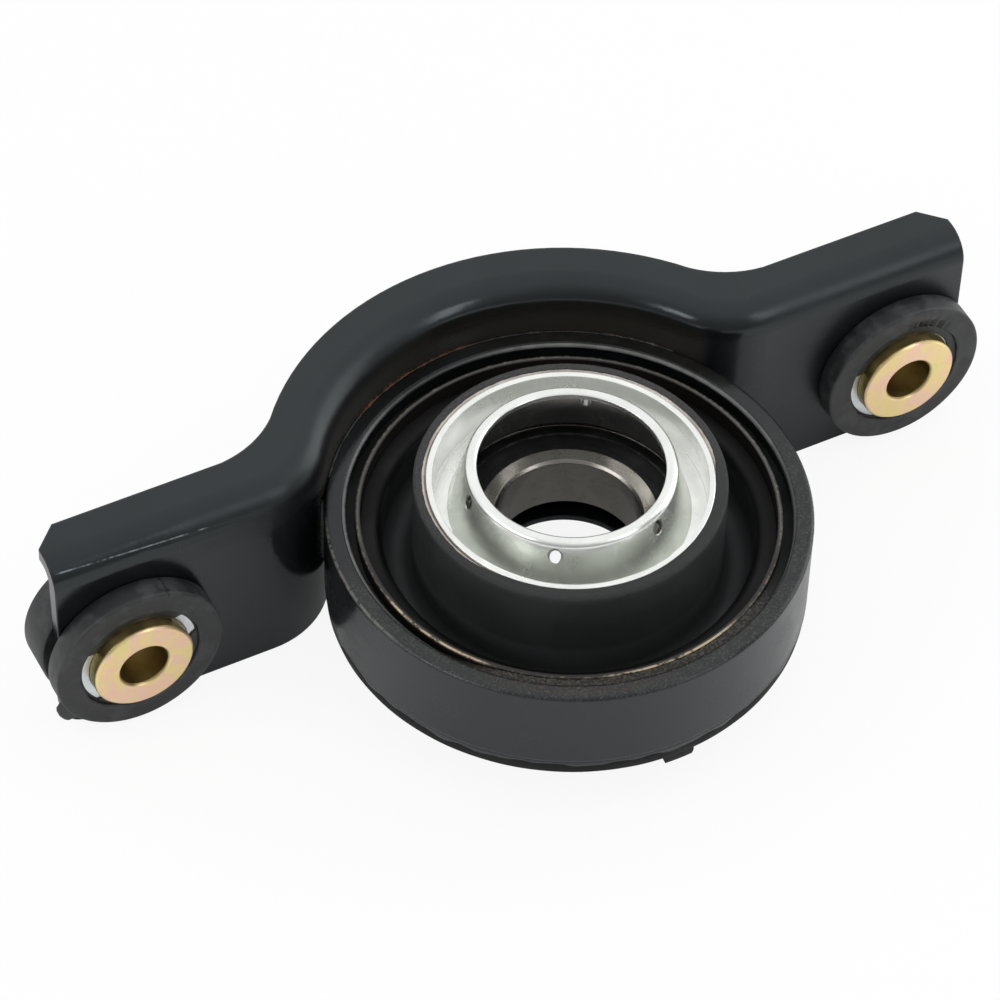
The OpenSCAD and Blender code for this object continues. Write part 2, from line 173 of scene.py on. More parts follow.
class BEARING_PG_finish(bpy.types.PropertyGroup):
    """Colours of the finishes."""

    paint: colour_prop("Paint", (0.0042, 0.0048, 0.0056), "Gloss black paint")
    paint_dust: colour_prop("Dust", (0.20, 0.19, 0.175), "Dust and chips on the paint")
    scuff: colour_prop("Scuff", (0.040, 0.043, 0.046), "Paint rubbed pale along the edges")
    scratch: colour_prop("Scratch", (0.42, 0.49, 0.52), "Scratch along the bend of the left arm")
    face: colour_prop("Ring face", (0.0085, 0.0078, 0.0070), "Worn brown paint on the ring's face")
    rust: colour_prop("Rust", (0.21, 0.085, 0.034), "Light rust")
    bare: colour_prop("Bare steel", (0.56, 0.46, 0.33), "Bare edge of the insert sleeve")
    dull: colour_prop("Dull steel", (0.013, 0.011, 0.009), "Brown steel under the rubber's smears")
    carrier: colour_prop("Carrier", (0.56, 0.51, 0.47), "Turned edge of the bearing carrier")
    zinc: colour_prop("Bright zinc", (0.90, 0.915, 0.885), "Zinc plate on the dust shield")
    white_zinc: colour_prop("White zinc", (0.80, 0.85, 0.88), "Zinc plate on the liner tubes")
    gold: colour_prop("Yellow zinc", (0.92, 0.73, 0.36), "Yellow passivated zinc")
    pink: colour_prop("Pink tint", (0.96, 0.63, 0.53), "Pink tint in the yellow zinc")
    green: colour_prop("Green tint", (0.76, 0.77, 0.30), "Green tint in the yellow zinc")
    olive: colour_prop("Olive tint", (0.20, 0.155, 0.055), "Olive brown on the bore and side of the sleeves")
    steel: colour_prop("Bearing steel", (0.25, 0.235, 0.215), "Ground bearing steel")


class BEARING_PG_stage(bpy.types.PropertyGroup):
    """Camera, floor and surroundings."""

    place: bpy.props.FloatVectorProperty(
        name="Camera place", description="Where the camera stands", default=(-0.3264, -0.5682, 0.7570),
        size=3, subtype="TRANSLATION", unit="LENGTH"
    )
    azimuth: angle_prop("Azimuth", -28.628, "Turn of the camera round the bearing axis")
    elevation: angle_prop("Elevation", 48.72, "Height of the camera above the horizon")
    roll: angle_prop("Roll", 1.907, "Turn of the camera about its own line of sight")
    lens: bpy.props.FloatProperty(
        name="Lens", description="Focal length on a 36 mm sensor, in millimetres", default=174.7, min=10.0
    )
    floor: colour_prop("Floor", (0.90, 0.90, 0.90), "Pale floor and backdrop")
    shadow: share_prop("Shadow", 0.10, "How much of its shadow the floor shows")
    mirror: share_prop("Mirror floor", 0.18, "How white the floor is in mirror images")
    ambient: share_prop("Ambient", 1.0, "Level of the light from the back and above")
    front: share_prop("Front light", 0.36, "Level of the light from the front and the left")
    gap: share_prop("Gap", 0.75, "How dark the gap in the surroundings is, low on the right")


SETTINGS = {
    "bearing_rubber": BEARING_PG_rubber,
    "bearing_beads": BEARING_PG_beads,
    "bearing_finish": BEARING_PG_finish,
    "bearing_stage": BEARING_PG_stage,
}


class Graph:
    """Adds nodes to one node tree and joins them."""

    def __init__(self, tree):
        self.tree = tree

    def add(self, kind, **settings):
        node = self.tree.nodes.new(kind)
        for key, value in settings.items():
            setattr(node, key, value)
        return node

    def put(self, socket, value):
        """Give an input a number, a colour or another node's output."""
        if isinstance(value, bpy.types.NodeSocket):
            self.tree.links.new(value, socket)
        elif hasattr(value, "__len__") and len(value) == 3 and socket.type == "RGBA":
            socket.default_value = (*value, 1.0)
        else:
            socket.default_value = value

    def calc(self, operation, a, b=0.0):
        node = self.add("ShaderNodeMath", operation=operation)
        self.put(node.inputs[0], a)
        self.put(node.inputs[1], b)
        return node.outputs[0]

    def product(self, *values):
        result = values[0]
        for value in values[1:]:
            result = self.calc("MULTIPLY", result, value)
        return result

    def hypot(self, a, b):
        return self.calc("SQRT", self.calc("ADD", self.product(a, a), self.product(b, b)))

    def mix(self, share, a, b):
        node = self.add("ShaderNodeMix", data_type="RGBA")
        self.put(node.inputs[0], share)
        self.put(node.inputs[6], a)
        self.put(node.inputs[7], b)
        return node.outputs[2]

    def lay(self, shade, colour, mask, share=1.0):
        """Lay a colour over a shade where the mask is, by that share at most."""
        return self.mix(self.product(mask, share), shade, colour)

    def span(self, value, low, high, out_low=0.0, out_high=1.0):
        """Map low to high on to out_low to out_high, smoothly and held at both ends."""
        node = self.add("ShaderNodeMapRange", interpolation_type="SMOOTHSTEP")
        numbers = {"Value": value, "From Min": low, "From Max": high, "To Min": out_low, "To Max": out_high}
        for name, number in numbers.items():
            self.put(node.inputs[name], number)
        return node.outputs["Result"]

    def spread(self, mask, at_none, at_full):
        """A number that goes from one value to another with a mask."""
        return self.span(mask, 0.0, 1.0, at_none, at_full)

    def near(self, value, centre, half, soft):
        """1 within half of the centre, falling to 0 over soft."""
        return self.span(self.calc("ABSOLUTE", self.calc("SUBTRACT", value, centre)), half + soft, half)

    def near_turn(self, degrees, centre, half, soft):
        """The same for an angle in degrees, measured round the circle."""
        off = self.calc("PINGPONG", self.calc("SUBTRACT", degrees, centre), 180.0)
        return self.span(off, half + soft, half)

    def noise(self, vector, scale, detail, rough):
        node = self.add("ShaderNodeTexNoise")
        self.put(node.inputs["Vector"], vector)
        self.put(node.inputs["Scale"], scale)
        self.put(node.inputs["Detail"], detail)
        self.put(node.inputs["Roughness"], rough)
        return node.outputs["Fac"]

    def patches(self, vector, scale, low, high):
        """Mask of ragged patches."""
        return self.span(self.noise(vector, scale, 5.0, 0.68), low, high)

    def group(self, tree, **values):
        node = self.add("ShaderNodeGroup", node_tree=tree)
        for name, value in values.items():
            self.put(node.inputs[name], value)
        return node.outputs


def start_group(name, inputs, outputs):
    """A new shader node group: inputs have numbers or vectors as defaults, outputs a kind of socket."""
    tree = bpy.data.node_groups.new(name, "ShaderNodeTree")
    for socket, default in inputs.items():
        kind = "NodeSocketFloat" if isinstance(default, float) else "NodeSocketVector"
        tree.interface.new_socket(socket, in_out="INPUT", socket_type=kind).default_value = default
    for socket, kind in outputs.items():
        tree.interface.new_socket(socket, in_out="OUTPUT", socket_type="NodeSocket" + kind)
    graph = Graph(tree)
    return graph, graph.add("NodeGroupInput").outputs, graph.add("NodeGroupOutput").inputs


def places_group():
    """Object coordinates in millimetres, with places round the bearing axis and round the nearer bolt."""
    outputs = {"Point": "Vector", "Round": "Vector"}
    names = ("Radius", "Angle", "Across", "Depth", "Height", "Bolt", "Bolt angle")
    outputs.update((name, "Float") for name in names)
    graph, _, out = start_group("Places", {}, outputs)
    scaled = graph.add("ShaderNodeVectorMath", operation="SCALE")
    graph.put(scaled.inputs[0], graph.add("ShaderNodeTexCoord").outputs["Object"])
    graph.put(scaled.inputs["Scale"], 1.0 / MM)
    parts = graph.add("ShaderNodeSeparateXYZ")
    graph.put(parts.inputs[0], scaled.outputs[0])
    x, y, z = parts.outputs
    radius = graph.hypot(x, y)
    angle = graph.calc("ARCTAN2", y, x)
    turned = graph.add("ShaderNodeCombineXYZ")
    for socket, value in zip(turned.inputs, (radius, angle, z)):
        graph.put(socket, value)
    bolt_x = graph.calc("SUBTRACT", x, graph.product(graph.calc("SIGN", x), RIGHT_BOLT.x / MM))
    bolt_z = graph.calc("SUBTRACT", z, RIGHT_BOLT.z / MM)
    bolt_angle = graph.calc("DEGREES", graph.calc("ARCTAN2", bolt_z, bolt_x))
    found = (radius, graph.calc("DEGREES", angle), x, y, z, graph.hypot(bolt_x, bolt_z), bolt_angle)
    graph.put(out["Point"], scaled.outputs[0])
    graph.put(out["Round"], turned.outputs[0])
    for name, value in zip(names, found):
        graph.put(out[name], value)
    return graph.tree


def wear_group():
    """Mask along sharp outer edges, broken up by noise."""
    graph, given, out = start_group(
        "Edge wear", {"Point": ORIGIN, "Radius": 0.0006, "Patches": 0.35}, {"Mask": "Float"}
    )
    rounded = graph.add("ShaderNodeBevel", samples=6)
    graph.put(rounded.inputs["Radius"], given["Radius"])
    dot = graph.add("ShaderNodeVectorMath", operation="DOT_PRODUCT")
    graph.put(dot.inputs[0], rounded.outputs[0])
    graph.put(dot.inputs[1], graph.add("ShaderNodeNewGeometry").outputs["Normal"])
    edge = graph.span(dot.outputs["Value"], 0.995, 0.86)
    graph.put(out["Mask"], graph.product(edge, graph.patches(given["Point"], given["Patches"], 0.44, 0.62)))
    return graph.tree


def specks_group():
    """Mask of small scattered specks of dust."""
    graph, given, out = start_group(
        "Specks", {"Point": ORIGIN, "Scale": 1.6, "Size": 0.14, "Share": 0.6}, {"Mask": "Float"}
    )
    cells = graph.add("ShaderNodeTexVoronoi")
    graph.put(cells.inputs["Vector"], given["Point"])
    graph.put(cells.inputs["Scale"], given["Scale"])
    dot = graph.span(cells.outputs["Distance"], given["Size"], 0.0)
    chosen = graph.add("ShaderNodeSeparateColor")
    graph.put(chosen.inputs[0], cells.outputs["Color"])
    graph.put(out["Mask"], graph.product(dot, graph.calc("GREATER_THAN", chosen.outputs[0], given["Share"])))
    return graph.tree


def grain_group():
    """Slow cloud and fine grain, for colour, roughness and bump."""
    graph, given, out = start_group(
        "Grain", {"Point": ORIGIN, "Cloud": 0.06, "Fine": 2.5}, {"Cloud": "Float", "Fine": "Float"}
    )
    graph.put(out["Cloud"], graph.span(graph.noise(given["Point"], given["Cloud"], 5.0, 0.6), 0.30, 0.70))
    graph.put(out["Fine"], graph.noise(given["Point"], given["Fine"], 3.0, 0.5))
    return graph.tree


def scratches_group():
    """Mask of fine lines: noise stretched by the given scales of the vector's three parts."""
    graph, given, out = start_group(
        "Scratches", {"Point": ORIGIN, "Stretch": (1.0, 1.0, 1.0), "Share": 0.62}, {"Mask": "Float"}
    )
    drawn = graph.add("ShaderNodeVectorMath", operation="MULTIPLY")
    graph.put(drawn.inputs[0], given["Point"])
    graph.put(drawn.inputs[1], given["Stretch"])
    lines = graph.noise(drawn.outputs[0], 1.0, 4.0, 0.7)
    graph.put(out["Mask"], graph.span(lines, given["Share"], graph.calc("ADD", given["Share"], 0.12)))
    return graph.tree


class Finish:
    """One material under way: its shader, the shared groups and the bump."""

    groups = {}

    def __init__(self, name, **constants):
        self.material = bpy.data.materials.new(name)
        self.material.use_nodes = True
        self.material.node_tree.nodes.clear()
        self.graph = Graph(self.material.node_tree)
        self.shader = self.graph.add("ShaderNodeBsdfPrincipled")
        output = self.graph.add("ShaderNodeOutputMaterial")
        self.graph.put(output.inputs["Surface"], self.shader.outputs[0])
        for socket, value in constants.items():
            self.shader.inputs[socket.replace("_", " ")].default_value = value
        self.place = self.shared(places_group)
        self.point = self.place["Point"]

    def shared(self, maker, **values):
        """Outputs of a shared node group, which is made once."""
        if maker not in self.groups:
            self.groups[maker] = maker()
        return self.graph.group(self.groups[maker], **values)

    def wear(self, radius, patches):
        return self.shared(wear_group, Point=self.point, Radius=radius, Patches=patches)["Mask"]

    def specks(self, scale, size, share):
        return self.shared(specks_group, Point=self.point, Scale=scale, Size=size, Share=share)["Mask"]

    def grain(self, cloud, fine):
        return self.shared(grain_group, Point=self.point, Cloud=cloud, Fine=fine)

    def scratches(self, stretch, share, vector=None):
        return self.shared(scratches_group, Point=vector or self.point, Stretch=stretch, Share=share)["Mask"]

    def noise(self, scale, detail, rough):
        return self.graph.noise(self.point, scale, detail, rough)

    def patches(self, scale, low, high):
        return self.graph.patches(self.point, scale, low, high)

    def fade(self, name, none, full):
        """Mask from 0 at one place to 1 at another, both in millimetres."""
        return self.graph.span(self.place[name], none, full)

    def near(self, name, centre, half, soft):
        """Mask about one place, in millimetres or degrees."""
        return self.graph.near(self.place[name], centre, half, soft)

    def turn(self, centre, half, soft):
        """Mask of a stretch round the bearing axis, in degrees."""
        return self.graph.near_turn(self.place["Angle"], centre, half, soft)

    def colour(self, value):
        self.graph.put(self.shader.inputs["Base Color"], value)

    def roughness(self, value):
        self.graph.put(self.shader.inputs["Roughness"], value)

    def metallic(self, value):
        self.graph.put(self.shader.inputs["Metallic"], value)

    def bump(self, height, strength, depth, round_edges=0.0):
        """Bump of that depth in metres, over edges that shade as if rounded."""
        node = self.graph.add("ShaderNodeBump")
        self.graph.put(node.inputs["Height"], height)
        self.graph.put(node.inputs["Strength"], strength)
        self.graph.put(node.inputs["Distance"], depth)
        if round_edges:
            rounded = self.graph.add("ShaderNodeBevel", samples=6)
            self.graph.put(rounded.inputs["Radius"], round_edges)
            self.graph.put(node.inputs["Normal"], rounded.outputs[0])
        self.graph.put(self.shader.inputs["Normal"], node.outputs[0])


def toned(colour, share):
    """A colour made lighter or darker."""
    return tuple(share * part for part in colour)


def dress(finish, *nodes):
    """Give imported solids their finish."""
    for node in nodes:
        slots = NODES[node].data.materials
        slots.clear()
        slots.append(finish.material)


def deselect():
    """Leave edit mode and select nothing."""
    if bpy.context.object and bpy.context.object.mode != "OBJECT":
        bpy.ops.object.mode_set(mode="OBJECT")
    bpy.ops.object.select_all(action="DESELECT")


def start_piece(name, add, **settings):
    """Add a primitive, name it and open it in edit mode with everything selected."""
    deselect()
    add(**settings)
    piece = bpy.context.object
    piece.name = name
    piece.data.name = name
    bpy.ops.object.mode_set(mode="EDIT")
    bpy.ops.mesh.select_mode(type="VERT")
    bpy.ops.mesh.select_all(action="SELECT")
    return piece


def lathe(name, profile, steps, angle=math.tau, start=0.0):
    """Draw a half section point by point, as (radius, height), and spin it about Z."""
    piece = start_piece(name, bpy.ops.mesh.primitive_plane_add, size=MM)
    bpy.ops.mesh.merge(type="CENTER")
    turn = Matrix.Rotation(start, 3, "Z")
    points = [turn @ Vector((radius, 0.0, height)) for radius, height in profile]
    bpy.ops.transform.translate(value=points[0])
    for before, after in zip(points, points[1:]):
        bpy.ops.mesh.extrude_vertices_move(TRANSFORM_OT_translate={"value": after - before})
    bpy.ops.mesh.select_all(action="SELECT")
    bpy.ops.mesh.spin(steps=steps, angle=-angle, center=ORIGIN, axis=UP)
    bpy.ops.mesh.select_all(action="SELECT")
    bpy.ops.mesh.remove_doubles(threshold=2e-6)
    bpy.ops.mesh.normals_make_consistent(inside=False)
    return piece


def arc(centre, radius, first, last, count):
    """Points of an arc in a half section, with its angles in degrees."""
    step = (last - first) / (count - 1)
    turns = [math.radians(first + step * i) for i in range(count)]
    return [(centre[0] + radius * math.cos(t), centre[1] + radius * math.sin(t)) for t in turns]


def ripple(angle, waves):
    """Smooth uneven number from -1 to 1 round a circle, the sum of a few waves."""
    return sum(math.sin(count * angle + phase) for count, phase in waves) / len(waves)


def window(angle, centre, half, soft):
    """1 within half of the centre angle, falling to 0 over soft, all but the first in degrees."""
    gap = abs((math.degrees(angle) - centre + 180.0) % 360.0 - 180.0)
    return min(1.0, max(0.0, (half + soft - gap) / soft))


def choose_faces(piece, test):
    """Select the faces that pass the test, in face mode."""
    bpy.ops.mesh.select_mode(type="FACE")
    bpy.ops.mesh.select_all(action="DESELECT")
    bpy.ops.object.mode_set(mode="OBJECT")
    for face in piece.data.polygons:
        face.select = test(face.center, face.normal)
    bpy.ops.object.mode_set(mode="EDIT")


def move_each(piece, shift):
    """Move vertices by a function of their place, and of its radius, angle and outward direction round Z."""
    bpy.ops.object.mode_set(mode="OBJECT")
    for vertex in piece.data.vertices:
        place = vertex.co
        outwards = Vector((place.x, place.y, 0.0)).normalized()
        vertex.co += shift(place, math.hypot(place.x, place.y), math.atan2(place.y, place.x), outwards)
    bpy.ops.object.mode_set(mode="EDIT")


def finish_piece(piece, finish, sharp=60.0, replaced=None):
    """Shade, dress and seat a piece on the housing."""
    deselect()
    piece.select_set(True)
    bpy.context.view_layer.objects.active = piece
    bpy.ops.object.transform_apply(location=True, rotation=True, scale=True)
    bpy.ops.object.shade_smooth_by_angle(angle=math.radians(sharp))
    piece.data.materials.clear()
    piece.data.materials.append(finish.material)
    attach(piece, HOUSING)
    if replaced:
        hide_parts(replaced)


def stand_on_bolt(centre):
    """Turn and move the open piece from the Z axis on to a bolt axis, front towards -Y."""
    bpy.ops.object.mode_set(mode="OBJECT")
    piece = bpy.context.object
    piece.matrix_world = Matrix.Translation(centre) @ Matrix.Rotation(math.radians(90), 4, "X")
    bpy.ops.object.transform_apply(location=True, rotation=True, scale=True)


def rubber_finish(name, settings, cloud, gloss, level, tone, marks=None):
    """Moulded rubber: dull black with grey bloom, dust, scuffs and fine pits."""
    finish = Finish(name, Specular_IOR_Level=level)
    graph = finish.graph
    grain = finish.grain(cloud, 3.2)
    bloom = graph.span(grain["Cloud"], 0.40, 1.0, 0.0, 0.7)
    shade = graph.mix(bloom, toned(settings.colour, tone), toned(settings.bloom, tone))
    shade = graph.lay(shade, settings.cut, finish.wear(0.0006, 0.30), 0.65)
    shade = graph.lay(shade, settings.dust, finish.specks(0.50, 0.07, 0.80), 0.55)
    height = grain["Fine"]
    if marks:
        shade, height = marks(finish, settings, shade, height)
    finish.colour(shade)
    finish.roughness(graph.spread(grain["Cloud"], gloss, gloss + 0.14))
    finish.bump(height, 0.22, 0.00012, 0.0003)
    return finish


def split_marks(finish, settings, shade, height):
    """A fine split across the side of the left bushing, with a scuffed lip."""
    graph = finish.graph
    rim = BUSHING_R / MM
    middle = LEFT_BOLT.y / MM
    crack = (0.002, 0.002, 0.002)
    wander = graph.product(graph.calc("SUBTRACT", finish.noise(0.45, 3.0, 0.6), 0.5), 9.0)
    turn = graph.calc("ADD", finish.place["Bolt angle"], wander)
    where = graph.product(
        finish.fade("Across", 0.0, -1.0), finish.fade("Bolt", rim - 1.0, rim - 0.4),
        finish.fade("Depth", middle, middle - 2.0)
    )
    split = graph.product(graph.near(turn, 68.0, 0.35, 0.6), where)
    scuff = graph.product(graph.near(turn, 70.5, 0.6, 2.2), where, finish.patches(1.2, 0.46, 0.60))
    shade = graph.lay(shade, settings.cut, scuff, 0.55)
    return graph.lay(shade, crack, split), graph.calc("SUBTRACT", height, split)


def cushion_marks(finish, settings, shade, height):
    """Cup wall in grey bloom laid heavy as painted sheen, painted light in the bottom of the fold, painted
    shade on the lining and rear lip, brown squeezed rubber beside the ring and a grey trimmed rim.
    """
    graph = finish.graph
    cup_r, lining_r, sleeve_r = CUP_R / MM, LINING_R / MM, INSERT_HIGH.x / MM
    back, end = RING_LOW.z / MM, CARRIER_HIGH.z / MM
    dusty, painted_shade_black = (0.050, 0.053, 0.055), (0.0012, 0.0013, 0.0015)
    brown, pale_brown = (0.018, 0.016, 0.014), (0.085, 0.077, 0.066)
    fold = graph.product(
        finish.fade("Radius", lining_r + 0.3, lining_r - 0.1), finish.fade("Height", 3.0, 1.5)
    )
    lining = graph.product(
        finish.fade("Radius", lining_r + 0.2, lining_r + 0.6),
        finish.fade("Radius", sleeve_r - 0.5, sleeve_r - 0.9)
    )
    lip = finish.fade("Height", back - 0.1, back - 0.5)
    squeezed = graph.product(finish.near("Radius", sleeve_r + 1.4, 1.4, 0.2), finish.fade("Height", 5.6, 7.0))
    # painted light: the bottom of the fold between cup and lining is laid lighter to make up for its shade
    shade = graph.lay(shade, dusty, fold)
    # grey bloom on the cup wall, laid heavier as painted sheen
    shade = graph.lay(shade, settings.bloom, finish.fade("Radius", cup_r + 2.4, cup_r + 1.0), 0.75)
    # painted shade: near black on the lining, deep inside, and on the rear lip under the ring
    shade = graph.lay(shade, painted_shade_black, graph.calc("MAXIMUM", lining, lip), 0.92)
    grit = finish.patches(1.8, 0.44, 0.66)
    shade = graph.lay(shade, graph.mix(grit, brown, pale_brown), squeezed)
    cut = graph.product(
        finish.fade("Height", end - 1.1, end - 0.4), finish.fade("Radius", cup_r + 1.8, cup_r + 0.8)
    )
    grain = graph.span(finish.noise(2.6, 4.0, 0.75), 0.34, 0.66)
    grey = graph.mix(grain, toned(settings.cut, 0.30), settings.cut)
    far = graph.spread(finish.turn(80.0, 70.0, 60.0), 0.25, 0.9)
    shade = graph.lay(shade, grey, graph.product(cut, far))
    return shade, graph.calc("ADD", height, graph.product(cut, grain))


class BEARING_OT_bushings(bpy.types.Operator):
    """Model the two rubber bushings with their collars, nub, wrinkles and ragged flash"""

    bl_idname = "bearing.bushings"
    bl_label = "Rubber Bushings"

    def execute(self, context):
        sizes = context.scene.bearing_rubber
        finish = rubber_finish("bushing_rubber", sizes, 0.17, 0.44, 0.46, 1.9, split_marks)
        profile = self.section(sizes)
        for side, centre, nub_turn in (("left", LEFT_BOLT, 211.0), ("right", RIGHT_BOLT, None)):
            piece = lathe(side + "_rubber_bushing", profile, 180)
            self.uneven(piece, sizes, side)
            if nub_turn:
                self.nub(piece, sizes.nub, nub_turn)
            stand_on_bolt(centre)
            finish_piece(piece, finish, 48.0, side + "_bushing")
            self.flash(side, centre, sizes, finish)
        return {"FINISHED"}

    def section(self, sizes):
        """Half section of a bushing: collar, near flange, neck through the arm's sheet, far flange."""
        outer = BUSHING_R - INSIDE
        hole = LINER_R
        near, far = BUSHING_NEAR, BUSHING_FAR
        web_near = LEFT_BOLT.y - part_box("bracket")[0].y
        sheet = 3.0 * MM
        web_far = web_near - sheet
        neck = hole + 1.8 * MM
        edge = sizes.edge
        step = 0.02 * MM
        bevel_in, bevel_down = 0.4 * MM, 0.5 * MM
        profile = [(hole, near - 1.1 * MM)]
        profile += arc((hole + 0.5 * MM, near - 0.8 * MM + sizes.collar), 0.4 * MM, 180, 60, 4)
        profile += [(hole + 1.3 * MM, near - 0.1 * MM), (hole + 2.4 * MM, near - 0.05 * MM)]
        profile += [(outer - edge - 0.6 * MM, near)]
        profile += arc((outer - edge, near - edge), edge, 82, 0, 6)
        profile += [(outer, near - 1.1 * MM), (outer, near - 3.0 * MM), (outer, web_near + bevel_down)]
        profile += [(outer - bevel_in, web_near + step), (neck, web_near + step), (neck, web_far - step)]
        profile += [(outer - bevel_in, web_far - step), (outer, web_far - bevel_down)]
        profile += arc((outer - edge, far + edge), edge, 0, -82, 6)
        profile += [(hole + 2.2 * MM, far + 0.1 * MM), (hole + 0.4 * MM, far + 0.1 * MM)]
        return profile + [(hole, far + 0.5 * MM), profile[0]]

    def uneven(self, piece, sizes, side):
        """Trimmed edges are never quite round, and the right bushing wrinkles beside its sleeve."""
        waves = ((2, 0.4), (3, 1.9), (5, 0.3)) if side == "left" else ((2, 2.2), (3, 0.6), (7, 1.0))

        def shift(place, radius, angle, outwards):
            move = STILL.copy()
            at_end = place.z > BUSHING_NEAR - 0.9 * MM
            if at_end and radius > LINER_R + 1.0 * MM:
                move.z -= 0.05 * MM * (1.0 + ripple(angle, waves))
            if at_end and side == "right" and radius < LINER_R + 1.6 * MM:
                pleats = 1.0 + math.sin(angle * 52.0 + 2.0 * math.sin(angle * 9.0))
                move.z -= sizes.wrinkle * window(angle, 70.0, 16.0, 9.0) * pleats
            if radius < LINER_R + 0.3 * MM and place.z > BUSHING_NEAR - 2.0 * MM:
                move -= outwards * sizes.ragged * 0.5 * (1.0 + ripple(angle * 3.0, waves))
            return move

        move_each(piece, shift)

    def nub(self, piece, height, turn):
        """A moulded nub on the rim, drawn out of its faces."""
        aim = Vector((math.cos(math.radians(turn)), math.sin(math.radians(turn)), 0.0))

        def on_nub(centre, normal):
            flat = Vector((centre.x, centre.y, 0.0))
            across = (flat - aim * flat.dot(aim)).length
            level = BUSHING_NEAR - 3.0 * MM < centre.z < BUSHING_NEAR - 0.5 * MM
            return flat.dot(aim) > BUSHING_R - INSIDE - 0.8 * MM and across < 2.5 * MM and level

        choose_faces(piece, on_nub)
        for reach, size in ((0.45, 0.86), (0.35, 0.88), (0.20, 0.70)):
            bpy.ops.mesh.extrude_region_move(TRANSFORM_OT_translate={"value": aim * reach * height})
            bpy.ops.transform.resize(value=(size, size, size))

    def flash(self, side, centre, sizes, finish):
        """Thin ragged skin of rubber that covers the liner's end, but for the bare stretches."""
        bare = {"left": ((187.0, 34.0), (25.0, 15.0)), "right": ((201.0, 38.0),)}[side]
        level = centre.y - LINER_LOW.y + 0.02 * MM
        outer = LINER_R - 0.05 * MM
        inner = LINER_R - sizes.flash_reach
        top = level + sizes.flash
        profile = [(outer, level), (inner, level), (inner, level + 0.4 * sizes.flash)]
        profile += [(inner + 0.15 * MM, top), (outer, top), (outer, level)]
        piece = lathe(side + "_rubber_flash", profile, 240)
        waves = ((5, 0.2), (9, 1.3), (14, 0.7), (23, 2.1))

        def shift(place, radius, angle, outwards):
            if radius > LINER_R - 0.5 * sizes.flash_reach:
                return STILL
            push = 0.4 * sizes.ragged * (1.0 + ripple(angle, waves))
            push += sum(window(angle, turn, half, 5.0) for turn, half in bare) * sizes.flash_reach
            return outwards * min(push, sizes.flash_reach - 0.42 * MM)

        move_each(piece, shift)
        stand_on_bolt(centre)
        finish_piece(piece, finish, 50.0)


